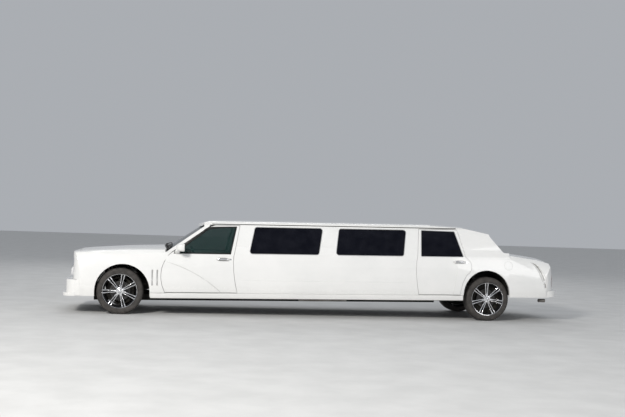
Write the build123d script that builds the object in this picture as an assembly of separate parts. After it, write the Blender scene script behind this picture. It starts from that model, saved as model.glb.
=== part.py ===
"""Stretch limousine on a body-on-frame saloon, lengthened between the front and rear doors.

Millimetres. -X is the car's front, -Y its left side, +Z up. The origin is on the ground under
the middle of the overall length. Body pieces are drawn level, at a station measured rearward from
the front axle, and then placed with the tail-high rake of the unladen car. Wheels, knuckles, arms
and axle are drawn at their real place on the ground, with no rake.
"""
import os
from math import acos, atan2, ceil, cos, hypot, pi, sin, sqrt, tan

from build123d import *

# Driving dimensions of the whole car
WHEELBASE = 6038
FRONT_OVERHANG = 924
REAR_OVERHANG = 1330
LENGTH = FRONT_OVERHANG + WHEELBASE + REAR_OVERHANG
FRONT_AXLE_X = FRONT_OVERHANG - LENGTH / 2
HALF_WIDTH = 995
RAKE_DEG = 0.75
PANEL_GAP = 7          # clear gap round anything that opens
EDGE_SHEAR = 0.25      # how far forward a door's edges run for each mm inward
FLAT_SAG = 1.5         # how far a flat may lie inside the curve it stands for

# Wheels, at their real place
TYRE_RADIUS = 366
TYRE_WIDTH = 245
RIM_RADIUS = 274
TRACK_HALF = 812
SPOKE_PAIRS = 7
STEER_AXIS_Y = 768
SPINDLE = 30
SPINDLE_BORE = 30.3
TYRE_SHOULDER = 30
WHEEL_FLATS = 32
HUB_FLATS = 12
HUB_RADIUS = 56
KINGPIN = 11
KINGPIN_BORE = 12.3

# Heights of the level body
SKIRT_BOTTOM_Z = 258
SKIRT_TOP_Z = 350
DOOR_BOTTOM_Z = 357
SILL_Z = 988
WINDOW_TOP_Z = 1420
DOOR_TOP_Z = 1437
DRIP_Z = 1452
ROOF_EDGE_Z = 1500
ROOF_CROWN_Z = 1522
FLOOR_Z = 330
FLOOR_THICK = 30
NOSE_BOTTOM_Z = 287
TAIL_BOTTOM_Z = 321

# Half breadths of the level body's section
SIDE_FOOT_Z = 230
WAIST_Z = 690
SKIRT_Y = 985
FOOT_Y = 968
SILL_Y = 953
WINDOW_TOP_Y = 760
DRIP_Y = 747
ROOF_EDGE_Y = 680
INNER_WALL_Y = 862
WALL = 45
FLARE = 9               # how far the fender flares stand out at the waist

# Stations along the level body, from the front axle
FENDER_FRONT = -690
FRONT_CLIP_END = 860
REAR_CLIP_START = 5396
COWL = 690
CABIN_END = 6404
FRONT_ARCH = (38, 370, 430)     # station, height, radius
REAR_ARCH = (6001, 370, 397)
BUMPER_TOP_Z = 545
RAIL_IN_Y, RAIL_OUT_Y = 400, 480
TUNNEL_Y, TUNNEL_Z = 130, 440
REAR_FLOOR_Z = 510
SCREEN_SLOPE = 0.70             # rise of the windscreen pillar for each mm rearward
SCREEN_FOOT = (779, 1038)
SCREEN_BOW = 95                 # how far the windscreen's middle stands ahead of its pillars' foot
SCREEN_MIDDLE = (686, 1038, 1258, 1416)     # station and height on the middle line, low and high
PILLAR_DROP = 54                # height of the windscreen pillar, measured plumb
ROOF_FRONT = 1319
CAP_FOOT_Z = 1416               # where the roof cap's blunt front starts
REAR_SLOPE_TOP = (6103, 1326)
REAR_SLOPE_FOOT = (6291, 1083)

BIG = 3000


def at(station):
    """Row-frame X of a station."""
    return station + FRONT_AXLE_X


def raked(piece):
    """The level body piece, turned tail-high about the front axle."""
    pivot = Axis((FRONT_AXLE_X, 0, TYRE_RADIUS), (0, 1, 0))
    return piece.rotate(pivot, -RAKE_DEG)


def flattened(start, moves):
    """Corners of a closed outline. A move of two numbers is a line to a point, one of four an arc
    through a point, taken as short flats."""
    points = [start]
    for move in moves:
        if len(move) == 4:
            points += arc_points(points[-1], move[:2], move[2:])
        else:
            points.append(move)
    (x0, y0), (x1, y1) = points[0], points[-1]
    return points[:-1] if hypot(x1 - x0, y1 - y0) < 0.01 else points


def outline(lift, start, moves):
    """Flat face inside an outline, each corner lifted to its place in space."""
    return Face(Wire.make_polygon([lift(*point) for point in flattened(start, moves)]))


def side_face(y, start, moves):
    """Face in a plane of constant Y, from station and height pairs."""
    return outline(lambda x, z: (at(x), y, z), start, moves)


def side_prism(start, moves, y0=-1200, y1=1200, shear=0.0):
    """A side-view outline carried from y0 to y1, leaning forward as it goes inward if sheared."""
    step = y1 - y0
    inward = 1 if y0 < 0 else -1
    way = Vector(-shear * inward * step, step, 0)
    return extrude(side_face(y0, start, moves), amount=way.length, dir=way.normalized())


def plan_prism(start, moves, z0, z1):
    """A plan-view outline of station and Y pairs, carried from z0 up to z1."""
    face = outline(lambda x, y: (at(x), y, z0), start, moves)
    return extrude(face, amount=z1 - z0, dir=(0, 0, 1))


def block(x0, x1, y0, y1, z0, z1):
    """A plain box between two stations."""
    return Pos(at((x0 + x1) / 2), (y0 + y1) / 2, (z0 + z1) / 2) * Box(x1 - x0, y1 - y0, z1 - z0)


def rod(p, q, radius, flats=8):
    """A many-sided bar between two points given as station, y and z."""
    a, b = Vector(at(p[0]), p[1], p[2]), Vector(at(q[0]), q[1], q[2])
    along = b - a
    return extrude(Plane(origin=a, z_dir=along) * RegularPolygon(radius, flats), amount=along.length)


def half_space(side):
    """Everything on one side of the car: -1 is the left."""
    return Pos(0, side * BIG / 2, 0) * Box(5 * BIG, BIG, 2 * BIG)


def both_sides(piece):
    """The left piece and its mirror image."""
    return piece, mirror(piece, Plane.XZ)


def group(*pieces):
    """Several solids as one node."""
    return Compound([solid for piece in pieces for solid in piece.solids()])


def largest(piece):
    """The biggest solid left by a cut."""
    return max(piece.solids(), key=lambda solid: solid.volume)


def arc_points(p, m, q, steps=0):
    """Points evenly along the arc from p through m to q, without p, close enough for the flats to pass
    as round unless a number of steps is given."""
    (x1, y1), (x2, y2), (x3, y3) = p, m, q
    twice = 2 * (x1 * (y2 - y3) + x2 * (y3 - y1) + x3 * (y1 - y2))
    s1, s2, s3 = x1 * x1 + y1 * y1, x2 * x2 + y2 * y2, x3 * x3 + y3 * y3
    cx = (s1 * (y2 - y3) + s2 * (y3 - y1) + s3 * (y1 - y2)) / twice
    cy = (s1 * (x3 - x2) + s2 * (x1 - x3) + s3 * (x2 - x1)) / twice
    radius = hypot(x1 - cx, y1 - cy)
    begin = atan2(y1 - cy, x1 - cx)
    half = (atan2(y2 - cy, x2 - cx) - begin + pi) % (2 * pi) - pi
    sweep = half + (atan2(y3 - cy, x3 - cx) - atan2(y2 - cy, x2 - cx) + pi) % (2 * pi) - pi
    steps = steps or max(2, ceil(abs(sweep) / (2 * acos(1 - min(0.5, FLAT_SAG / radius)))))
    turns = [begin + sweep * i / steps for i in range(1, steps + 1)]
    return [(cx + radius * cos(t), cy + radius * sin(t)) for t in turns]


def grown(points, amount):
    """The closed outline moved outward all round, its corners mitred."""
    ahead = points[1:] + points[:1]
    turn = sum(x0 * y1 - x1 * y0 for (x0, y0), (x1, y1) in zip(points, ahead))
    out = amount if turn > 0 else -amount
    moved = []
    for before, here, after in zip(points[-1:] + points[:-1], points, ahead):
        x, y = here
        one = hypot(x - before[0], y - before[1])
        two = hypot(after[0] - x, after[1] - y)
        n1 = ((y - before[1]) / one, (before[0] - x) / one)
        n2 = ((after[1] - y) / two, (x - after[0]) / two)
        k = out / (1 + n1[0] * n2[0] + n1[1] * n2[1])
        moved.append((x + k * (n1[0] + n2[0]), y + k * (n1[1] + n2[1])))
    return moved


def rounded(points, radius):
    """Start and moves of an outline whose corners are all rounded."""
    moves = []
    for before, here, after in zip(points[-1:] + points[:-1], points, points[1:] + points[:1]):
        x, y = here
        one = hypot(before[0] - x, before[1] - y)
        two = hypot(after[0] - x, after[1] - y)
        u = ((before[0] - x) / one, (before[1] - y) / one)
        v = ((after[0] - x) / two, (after[1] - y) / two)
        w = (u[0] + v[0], u[1] + v[1])
        half = acos(u[0] * v[0] + u[1] * v[1]) / 2
        reach = radius / tan(half)
        near = (radius / sin(half) - radius) / hypot(*w)
        moves.append((x + u[0] * reach, y + u[1] * reach))
        moves.append((x + w[0] * near, y + w[1] * near, x + v[0] * reach, y + v[1] * reach))
    return moves[0], moves[1:]


def mirrored(half):
    """The points of the right half of a section, foot first, and their mirror image."""
    return half + [(-y, z) for y, z in reversed(half) if abs(y) > 0.01]


def mirrored_loop(lift, half):
    """Closed face across the car from the points of its right half."""
    whole = mirrored(half)
    return outline(lift, whole[0], whole[1:])


def skinned(rings):
    """Solid through rings of matching points, its skin in flat triangles and its ends flat."""
    faces = [Face(Wire.make_polygon(ring)) for ring in (rings[0], rings[-1])]
    for one, two in zip(rings, rings[1:]):
        for i, a in enumerate(one):
            b, c, d = one[i - 1], two[i - 1], two[i]
            pairs = ((a, b, c), (a, c, d)) if a[1] + b[1] > 0 else ((a, b, d), (b, c, d))
            faces += [Face(Wire.make_polygon(corners)) for corners in pairs]
    return Solid(Shell(faces))


def ring_of_flats(section, flats):
    """Solid ring about Y: a closed section of radius and y carried round in flats, one of them level below."""
    turns = [pi * (2 * i + 1) / flats for i in range(flats)]
    faces = []
    for a, b in zip(turns, turns[1:] + turns[:1]):
        for (r0, y0), (r1, y1) in zip(section, section[1:] + section[:1]):
            corners = [(r0, y0, a), (r1, y1, a), (r1, y1, b), (r0, y0, b)]
            corners = [(r * cos(t) / cos(pi / flats), y, r * sin(t) / cos(pi / flats)) for r, y, t in corners]
            faces.append(Face(Wire.make_polygon(corners)))
    return Solid(Shell(faces))


# Skins of the level body, all closed solids from few sections

def barrel(foot, waist, sill):
    """Body side from foot to sill, as flats along one arc."""
    return [foot] + arc_points(foot, waist, sill, 4)


def cabin_outer(flare=0):
    """Cross-section of the cabin with its flat side glass, drip moulding and crowned roof cap."""
    sill = (SILL_Y, SILL_Z)
    half = barrel((FOOT_Y + flare, SIDE_FOOT_Z), (HALF_WIDTH + flare, WAIST_Z), sill)
    half += [(WINDOW_TOP_Y, WINDOW_TOP_Z), (DRIP_Y, DRIP_Z), (DRIP_Y + 9, DRIP_Z + 3)]
    half.append((DRIP_Y + 2, 1478))
    half += arc_points((DRIP_Y + 2, 1478), (730, 1494), (ROOF_EDGE_Y, ROOF_EDGE_Z), 3)
    half += arc_points((ROOF_EDGE_Y, ROOF_EDGE_Z), (350, 1517), (0, ROOF_CROWN_Z), 4)
    face = mirrored_loop(lambda y, z: (at(560), y, z), half)
    return extrude(face, amount=CABIN_END - 560, dir=(1, 0, 0))


def cabin_inner():
    half = [
        (INNER_WALL_Y, 200),
        (INNER_WALL_Y, 930),
        (SILL_Y - WALL, SILL_Z),
        (WINDOW_TOP_Y - WALL, WINDOW_TOP_Z),
        (ROOF_EDGE_Y - 20, ROOF_EDGE_Z - 34),
        (300, ROOF_CROWN_Z - 38),
    ]
    face = mirrored_loop(lambda y, z: (at(500), y, z), half)
    return extrude(face, amount=CABIN_END - 440, dir=(1, 0, 0))


def screen_z(x, drop=0):
    """Height of the windscreen pillar's line at a station."""
    return SCREEN_FOOT[1] + SCREEN_SLOPE * (x - SCREEN_FOOT[0]) - drop


def behind_screen(back, far=1800):
    """Everything rearward of the bowed windscreen surface, shifted back by a distance."""
    x0, z0, x1, z1 = SCREEN_MIDDLE
    low, high = 880, 1560
    lean = (x1 - x0) / (z1 - z0)
    x = x0 + (low - z0) * lean + back
    side = 1000
    ends = x + SCREEN_BOW * (side / SILL_Y) ** 2
    arc = [(ends, -side)] + arc_points((ends, -side), (x, 0), (ends, side), 12)
    face = outline(lambda s, y: (at(s), y, low), arc[0], arc[1:] + [(far, side), (far, -side)])
    way = Vector(lean, 0, 1) * (high - low)
    return extrude(face, amount=way.length, dir=way.normalized())


def fall(x, z, slope):
    """Everything under a crowned roof plane that runs down to the rear from one station."""
    half = [(900, 900), (900, z - 40), (ROOF_EDGE_Y, z)]
    half += arc_points((ROOF_EDGE_Y, z), (350, z + 16), (0, z + 21), 4)
    face = mirrored_loop(lambda y, w: (at(x), y, w), half)
    reach = CABIN_END + 40 - x
    way = Vector(reach, 0, -slope * reach)
    under = extrude(face, amount=way.length, dir=way.normalized())
    return under + block(300, x, -900, 900, 100, 1700) + block(300, CABIN_END + 40, -1200, 1200, 100, 1100)


def cabin_profile(lead=0):
    """Side view of the greenhouse: screen, blunt front of the roof cap, roof and sloping rear pillar.
    With a lead it is the hollow inside, open to the windscreen."""
    slope_x, slope_z = REAR_SLOPE_TOP
    foot_x, foot_z = REAR_SLOPE_FOOT
    front = ROOF_FRONT - SCREEN_BOW
    return side_prism(
        (560, 200),
        [
            (560, CAP_FOOT_Z - lead if lead else screen_z(560) + 70),
            (front, CAP_FOOT_Z - lead),
            (front, 1446 - lead),
            (1330, 1486 - lead, 1560, ROOF_CROWN_Z - lead),
            (6020, ROOF_CROWN_Z - lead),
            (6052, 1392 - lead),
            (6084, 1370 - lead, slope_x, slope_z - lead),
            (foot_x, foot_z - lead),
            (foot_x + 22, 1063 - lead, foot_x + 50, 1058 - lead),
            (CABIN_END, 1056 - lead),
            (CABIN_END, 200),
        ],
    )


def roof_front():
    """The bowed screen surface below the roof cap, and the cap's own blunt bowed front above it."""
    front = ROOF_FRONT - SCREEN_BOW
    y = WINDOW_TOP_Y
    arc = arc_points((ROOF_FRONT, -y), (front, 0), (ROOF_FRONT, y), 12)
    cap = plan_prism((ROOF_FRONT, -y), arc + [(1500, y), (1500, -y)], CAP_FOOT_Z, 1600)
    rear = block(1499, CABIN_END + 60, -1200, 1200, 100, 1700)
    return behind_screen(0) + cap + rear + block(300, 1500, -1200, 1200, 100, 881)


# Loft tables. Columns: station, foot y, waist y, waist z, shoulder y, shoulder z, edge y, edge z, crown z
FRONT_SECTIONS = (
    (-830, 925, 948, 640, 915, 905, 815, 972, 1002),
    (-385, 951, 976, 660, 943, 932, 830, 1006, 1040),
    (100, 963, 991, 680, 953, 962, 838, 1032, 1071),
    (FRONT_CLIP_END, FOOT_Y, HALF_WIDTH, WAIST_Z, SILL_Y, SILL_Z, 842, 1040, 1096),
)
REAR_SECTIONS = (
    (REAR_CLIP_START, FOOT_Y, HALF_WIDTH, WAIST_Z, SILL_Y, SILL_Z, 842, 1052, 1096),
    (6404, 965, 992, WAIST_Z, 949, 968, 838, 1030, 1062),
    (6900, 948, 976, 680, 926, 905, 822, 948, 1000),
    (7440, 918, 948, 660, 890, 770, 792, 815, 920),
)
ROLL = 16               # how far the shoulder's roll stands out from its chord


def clip_section(row, flare, inset, drop):
    x, foot_y, waist_y, waist_z, shoulder_y, shoulder_z, edge_y, edge_z, crown_z = row
    foot = (foot_y + flare - inset, 150 if inset else SIDE_FOOT_Z)
    shoulder = (shoulder_y - inset, shoulder_z - drop / 2)
    edge = (edge_y - inset * 0.6, edge_z - drop)
    roll = ((shoulder[0] + edge[0]) / 2 + ROLL, (shoulder[1] + edge[1]) / 2 + ROLL)
    half = barrel(foot, (waist_y + flare - inset, waist_z), shoulder)
    half += arc_points(shoulder, roll, edge, 2)
    half += arc_points(edge, (0, crown_z - drop), (-edge[0], edge[1]), 8)[:4]
    return [(at(x), y, z) for y, z in mirrored(half)]


def clip(rows, flare=0, inset=0, drop=0):
    """Solid through the clip's sections, inset from the skin for its inner face."""
    return skinned([clip_section(row, flare, inset, drop) for row in rows])


def front_flare_zone():
    """Side view of the front fender's flare, which sweeps down across the door to the sill."""
    return side_prism(
        (-1000, 0),
        [(-1000, 930), (60, 930), (890, 880, 1390, 520), (1556, 372), (1640, 300), (1640, 0)],
    )


def rear_flare_zone():
    """Side view of the rear fender's flare, with its leading edge on the rear door."""
    return side_prism((5400, 0), [(5424, 350), (5492, 800), (5520, 925, 5600, 975), (7600, 975), (7600, 0)])


def nose_plan(grow=0):
    """Plan outline of the nose: bowed front face that rounds gradually into the sides, open to the rear."""
    start, side, face = -430, 1010 + grow, -738 - grow
    return plan_prism(
        (1200, -side),
        [
            (1200, side),
            (start, side),
            (-660, 935 + grow, face, 770),
            (face - 26, 0, face, -770),
            (-660, -935 - grow, start, -side),
        ],
        0,
        1500,
    )


def nose_profile(inset=0):
    """Side view of the nose: near-upright face that leans back to a rounded hood edge."""
    return side_prism(
        (-795 + inset, 0),
        [
            (-795 + inset, 560),
            (-760 + inset, 905 - inset),
            (-742 + inset, 975 - inset, -668 + inset, 1004 - inset),
            (-600 + inset, 1500),
            (1200, 1500),
            (1200, 0),
        ],
    )


def tail_profile(inset=0):
    """Side view of the tail: deck lip, then a face that slopes out to the bumper."""
    return side_prism(
        (5000, 0),
        [
            (5000, 1500),
            (6990, 1500),
            (6990, 1010 - inset),
            (7105 - inset, 968 - inset, 7122 - inset, 886 - inset),
            (7180 - inset, 668),
            (7280 - inset, 465),
            (7290 - inset, 0),
        ],
    )


def tail_plan(grow=0):
    """Plan outline of the tail, rounding gradually from the sides to the bowed rear face."""
    start, side, face = 6880, 1020 + grow, 7236 + grow
    return plan_prism(
        (5000, -side),
        [
            (start, -side),
            (7130, -925 - grow, face, -740),
            (face + 54, 0, face, 740),
            (7130, 925 + grow, start, side),
            (5000, side),
        ],
        0,
        1500,
    )


def skin_y(z):
    """Half breadth of the cabin's skin at a height, close enough to place a cut."""
    if z <= SILL_Z:
        return HALF_WIDTH - (HALF_WIDTH - SILL_Y) * max(0, (z - 690) / (SILL_Z - 690)) ** 2
    return SILL_Y + (WINDOW_TOP_Y - SILL_Y) * (z - SILL_Z) / (WINDOW_TOP_Z - SILL_Z)


FRONT_DOOR = [
    (706, DOOR_BOTTOM_Z),
    (650, 735, 772, 968),
    (1345, 1373),
    (1385, 1400, 1430, 1418),
    (1500, DOOR_TOP_Z),
    (1892, DOOR_TOP_Z),
    (1789, 940),
    (1795, 660, 1855, DOOR_BOTTOM_Z),
]
REAR_DOOR = [
    (4846, DOOR_BOTTOM_Z),
    (4800, 640, 4806, 900),
    (4882, DOOR_TOP_Z),
    (5505, DOOR_TOP_Z),
    (5535, 1430, 5549, 1404),
    (5640, 985),
    (5722, 905),
    (5738, 800, 5655, 690),
    (5586, 560, 5550, DOOR_BOTTOM_Z),
]
FRONT_WINDOW = [
    (838, 978),
    (846, 1004),
    (1290, 1333),
    (1360, 1386, 1440, 1406),
    (1818, 1416),
    (1836, 1412, 1834, 1396),
    (1742, 994),
    (1736, 978, 1720, 976),
]
REAR_WINDOW = [
    (4890, 984),
    (4882, 994),
    (4920, 1402),
    (4924, 1414, 4942, 1415),
    (5440, 1405),
    (5488, 1400, 5500, 1374),
    (5600, 1004),
    (5604, 986, 5586, 983),
]
# Fixed stretch windows. Columns: front and rear station at the sill, front and rear station at the top
STRETCH_WINDOWS = ((2036, 3172, 2136, 3258), (3452, 4586, 3526, 4664))
WINDOW_CORNER = 44
WINDOW_SILL_Z = 984


def door_tool(points, grow):
    """The door outline, grown or shrunk, as a sheared cutter on the left side. Its corners move rearward
    where the skin lies inboard of the outline's plane."""
    corners = flattened(points[0], points[1:])
    corners = [(x + EDGE_SHEAR * (HALF_WIDTH - skin_y(z)), z) for x, z in corners]
    corners = grown(corners, grow)
    face = side_face(-HALF_WIDTH, corners[0], corners[1:])
    way = Vector(-EDGE_SHEAR, 1, 0).normalized()
    reach = 560 * sqrt(1 + EDGE_SHEAR**2)
    inner = extrude(face, amount=reach, dir=way)
    outer = extrude(face, amount=60, dir=-way)
    return inner + outer


def window_tool(points):
    return side_prism(points[0], points[1:], -1100, -600)


def stretch_window_tool(row):
    """A slanted window opening with rounded corners."""
    low0, low1, top0, top1 = row
    low, top = WINDOW_SILL_Z, WINDOW_TOP_Z - 3
    start, moves = rounded([(low0, low), (low1, low), (top1, top), (top0, top)], WINDOW_CORNER)
    return side_prism(start, moves, -1100, -600)


def glass_layer():
    """The slab that all side glass lies in, a little inside the skin."""
    depth, thick = 9, 6
    ends = []
    for inset in (depth, depth + thick):
        ends += [(SILL_Y + 9 - inset, SILL_Z - 20), (WINDOW_TOP_Y - 5 - inset, WINDOW_TOP_Z + 11)]
    a, b, c, d = ends
    face = outline(lambda y, z: (at(600), -y, z), a, [b, d, c])
    return extrude(face, amount=5200, dir=(1, 0, 0))


def front_solid():
    """Outer form of the front end, with the fender flares standing out."""
    whole = clip(FRONT_SECTIONS) + (clip(FRONT_SECTIONS, flare=FLARE) & front_flare_zone())
    return whole & nose_plan() & nose_profile()


def build_skins():
    """Hollow shells of the cabin and of the two clips."""
    flares = cabin_outer(FLARE) & (front_flare_zone() + rear_flare_zone())
    roofline = cabin_profile() & roof_front() & fall(5080, 1500, 0.045) & fall(5640, 1471, 0.19)
    hollow = cabin_inner() & cabin_profile(34) & fall(5080, 1466, 0.045) & fall(5640, 1437, 0.19)
    cabin = ((cabin_outer() + flares) & roofline) - hollow
    front = front_solid() - clip(FRONT_SECTIONS, inset=38, drop=34)
    rear = rear_solid() - (rear_hollow() & block(5880, 7600, -1200, 1200, 0, 1500))
    rear -= cabin_inner() & block(5000, 5890, -1200, 1200, 0, 1500)
    rear -= block(5000, 5880, -1200, 1200, 960, 1500)
    return cabin, front, rear


def rear_solid(inset=0):
    """Outer form of the rear end, over the trunk and the rear wheels."""
    return clip(REAR_SECTIONS, FLARE, inset, inset) & tail_plan(-inset) & tail_profile(inset)


def rear_hollow():
    return clip(REAR_SECTIONS, 0, 38, 34) & tail_plan(-40) & tail_profile(40)


def arch_cut(arch, inner_y):
    """Round wheel opening through the left side, open downward."""
    x, z, r = arch
    round_part = side_prism((x - r, z), [(x, z + r, x + r, z)], -1200, -inner_y)
    below = block(x - r, x + r, -1200, -inner_y, z - 400, z)
    return round_part + below


def arch_liner(arch, outer_y, inner_y, foot_z):
    """Half-round inner wing in broad flats, 14 mm thick, just outside the wheel opening's radius."""
    x, z, r = arch
    rings = []
    for size in (r + 22, r + 8):
        rings.append([(x - size, z)] + arc_points((x - size, z), (x, z + size), (x + size, z), 9))
    big, small = rings
    legs = [(big[-1][0], foot_z), (small[-1][0], foot_z)] + small[::-1] + [(small[0][0], foot_z)]
    return side_prism(big[0], big[1:] + legs + [(big[0][0], foot_z)], -outer_y, -inner_y)


def door_handle(x, z):
    """Bridge-shaped pull on the left side, its feet sunk in the skin."""
    half = 94
    shape = plan_prism(
        (x - half, -970),
        [
            (x - half, -996),
            (x - half + 14, -1007),
            (x + half - 14, -1007),
            (x + half, -996),
            (x + half, -970),
            (x + half - 26, -970),
            (x + half - 30, -997),
            (x - half + 30, -997),
            (x - half + 26, -970),
        ],
        z - 12,
        z + 12,
    )
    return shape


def build_doors(parts, cabin, tools, rear_hole):
    """Doors with their windows cut and glass set in."""
    above_foot = block(500, 7300, -1300, 0, DOOR_BOTTOM_Z, 1700)
    for name, window in (("front", FRONT_WINDOW), ("rear", REAR_WINDOW)):
        opening = window_tool(window)
        door = (cabin & tools[name] & above_foot) - opening - rear_hole
        door += door_handle(*DOOR_HANDLES[name])
        parts[f"{name}_door_left"], parts[f"{name}_door_right"] = both_sides(door)
        glass = glass_layer() & opening
        parts[f"{name}_door_glass_left"], parts[f"{name}_door_glass_right"] = both_sides(glass)


def vent_slots():
    """Two upright slots behind the front wheel, with round ends."""
    slots = []
    for x in (506, 584):
        low, high, half = 463, 716, 14
        moves = [(x - half, high - half), (x, high, x + half, high - half), (x + half, low + half)]
        slots.append(side_prism((x - half, low + half), moves + [(x, low, x - half, low + half)], -1200, -900))
    return slots[0] + slots[1]


def tail_groove():
    """Crescent cove down the rear quarter, ahead of the tail."""
    return side_prism((6800, 908), [(6912, 790, 7006, 470), (7046, 470), (6948, 806, 6800, 908)], -1200, -600)


def build_panels(parts):
    """Fenders, doors, side panels, quarters, hood, trunk lid and roof, cut from the skins."""
    cabin, front, rear = build_skins()
    left = half_space(-1)
    outlines = {"front": FRONT_DOOR, "rear": REAR_DOOR}
    tools = {name: door_tool(points, -PANEL_GAP / 2) for name, points in outlines.items()}
    holes = {name: door_tool(points, PANEL_GAP / 2) for name, points in outlines.items()}
    front_hole = arch_cut(FRONT_ARCH, 560)
    rear_hole = arch_cut(REAR_ARCH, 560)
    build_doors(parts, cabin, tools, rear_hole)

    # Fixed side panel between the doors
    panel = cabin & block(1760, 5060, -1300, 0, SKIRT_TOP_Z, DOOR_TOP_Z + 5)
    panel = largest(panel - holes["front"] - holes["rear"])
    openings = [stretch_window_tool(row) for row in STRETCH_WINDOWS]
    for opening in openings:
        panel -= opening
    parts["side_panel_left"], parts["side_panel_right"] = both_sides(panel)
    glazing = [glass_layer() & opening for opening in openings]
    parts["side_glass"] = group(*[g for pane in glazing for g in both_sides(pane)])

    # Roof with its rails and windscreen pillars
    pillar_band = side_prism(
        (700, screen_z(700, PILLAR_DROP)),
        [(1400, screen_z(1400, PILLAR_DROP)), (1400, 1600), (700, 1600)],
    ) & block(600, 1500, -1200, 1200, PILLAR_FOOT_Z, 1700)
    roof_zone = block(1180, 5560, -1200, 1200, DOOR_TOP_Z + 5, 1700)
    roof_zone += block(5560, BACKLIGHT_TOP[0], -ROOF_REAR_Y, ROOF_REAR_Y, 1280, 1700)
    roof = cabin & (roof_zone + pillar_band)
    for hole in holes.values():
        roof -= hole + mirror(hole, Plane.XZ)
    parts["roof"] = largest(roof - screen_rebate(-60, 16))

    # Front fenders
    hood_hole = hood_plan(PANEL_GAP / 2)
    fender = front & left & block(FENDER_FRONT, 812, -1300, 0, NOSE_BOTTOM_Z, 1300)
    fender -= front_hole + hood_hole
    fender -= holes["front"]
    fender -= pillar_band
    fender -= block(474, 900, -1300, 0, 200, SKIRT_TOP_Z)
    fender -= block(700, 900, -1300, 0, 300, 940)
    fender -= block(600, 900, -COWL_HALF_WIDTH, 0, 700, 1300)
    fender -= block(-700, -560, -NOSE_TOP_Y, 0, 800, 1300)
    fender -= vent_slots() - clip(FRONT_SECTIONS, FLARE, 11, 11)
    fender = largest(fender)
    parts["front_fender_left"], parts["front_fender_right"] = both_sides(fender)

    # Hood
    parts["hood"] = front & hood_plan(-PANEL_GAP / 2) & block(-900, 900, -900, 900, 800, 1300)

    # Rear quarters with the broad sail panels
    sail = cabin & block(5400, CABIN_END, -1300, 0, 960, 1600)
    sail -= block(5400, 5560, -1300, 0, DOOR_TOP_Z + 5, 1600)
    sail -= block(5400, BACKLIGHT_TOP[0], -ROOF_REAR_Y, 0, 1280, 1700)
    tail = rear & left & block(5400, 7500, -1300, 0, TAIL_BOTTOM_Z, 1300)
    tail -= block(5300, 5700, -1300, 0, 0, SKIRT_TOP_Z)
    tail -= block(5800, 6436, -SHELF_Y, 0, 940, 1130)
    quarter = (sail & left) + tail
    quarter -= rear_hole + holes["rear"]
    quarter -= trunk_plan(PANEL_GAP / 2)
    quarter -= backlight_tool(80, -140)
    quarter -= block(7000, 7500, -BACK_PANEL_Y, 0, 0, 700)
    quarter -= block(7040, 7500, -1300, 0, 0, BUMPER_REAR_TOP_Z)
    quarter -= tail_groove() - rear_solid(13)
    quarter = largest(quarter)
    parts["rear_quarter_left"], parts["rear_quarter_right"] = both_sides(quarter)

    # Shelf and deck between the rear window and the trunk lid
    shelf = rear & block(5880, 6436, -SHELF_Y, SHELF_Y, 960, 1130)
    parts["rear_deck"] = largest(shelf - parts["rear_quarter_left"] - parts["rear_quarter_right"])

    # Trunk lid, and the panel below it that the lid shuts against
    lid = rear & trunk_plan(-PANEL_GAP / 2) & block(6300, 7500, -900, 900, LID_FOOT_Z + PANEL_GAP, 1300)
    parts["trunk_lid"] = largest(lid)
    back = rear & block(7000, 7500, -BACK_PANEL_Y, BACK_PANEL_Y, BUMPER_REAR_TOP_Z, 700)
    parts["back_panel"] = largest(back - trunk_plan(PANEL_GAP / 2) & block(7150, 7500, -900, 900, 0, LID_FOOT_Z))


BUMPER_REAR_TOP_Z = 436
LID_FOOT_Z = 536
BACKLIGHT_TOP = (6066, 1374)
BACKLIGHT_FOOT = (6297, 1075)
BACKLIGHT_Y = 575
ROOF_REAR_Y = 640
SHELF_Y = 716
BACK_PANEL_Y = 648
NOSE_TOP_Y = 704
PILLAR_FOOT_Z = 1000
COWL_HALF_WIDTH = 800
COWL_DROP = 34          # how far the cowl lies below the hood
HOOD_BACK = 716


def hood_plan(grow):
    """Plan cutter for the hood, tapering to the nose."""
    front, back = -640, HOOD_BACK
    return plan_prism(
        (front - grow, -700 - grow),
        [
            (back + grow, -800 - grow),
            (back - 44 + grow, 0, back + grow, 800 + grow),
            (front - grow, 700 + grow),
            (front - 26 - grow, 0, front - grow, -700 - grow),
        ],
        700,
        1500,
    )


def trunk_plan(grow):
    """Cutter for the trunk lid: deck and rear face above the bumper."""
    front = 6440
    return plan_prism(
        (front - grow, -720 - grow),
        [
            (7600, -640 - grow),
            (7600, 640 + grow),
            (front - grow, 720 + grow),
        ],
        LID_FOOT_Z,
        1500,
    )


def backlight_tool(out, depth):
    """The slab between two offsets from the rear window's sloping line, within the window's width."""
    (x0, z0), (x1, z1) = BACKLIGHT_TOP, BACKLIGHT_FOOT
    run = sqrt((x1 - x0) ** 2 + (z0 - z1) ** 2)
    nx, nz = (z0 - z1) / run, (x1 - x0) / run
    corners = [(x0 + nx * d, z0 + nz * d) for d in (depth, out)]
    corners += [(x1 + nx * d, z1 + nz * d) for d in (out, depth)]
    return side_prism(corners[0], corners[1:], -BACKLIGHT_Y, BACKLIGHT_Y)


DOOR_HANDLES = {"front": (1612, 894), "rear": (5530, 902)}


def build_mirrors(parts):
    """Door mirrors, each a housing on an arm that stands on the door skin."""
    arm_start = (-1090, 1062)
    arm_moves = [(-1000, 1062), (-940, 1018), (-940, 968), (-1004, 968), (-1030, 1030), (-1090, 1034)]
    arm = outline(lambda y, z: (at(850), y, z), arm_start, arm_moves)
    arm = extrude(arm, amount=84, dir=(1, 0, 0)) - cabin_outer()
    arm = largest(arm)
    body = plan_prism(
        (1004, -1004), [(1004, -1142), (930, -1150, 892, -1120), (874, -1060, 900, -1004)], 1012, 1130
    )
    parts["mirror_left"], parts["mirror_right"] = both_sides(arm + body)


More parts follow.
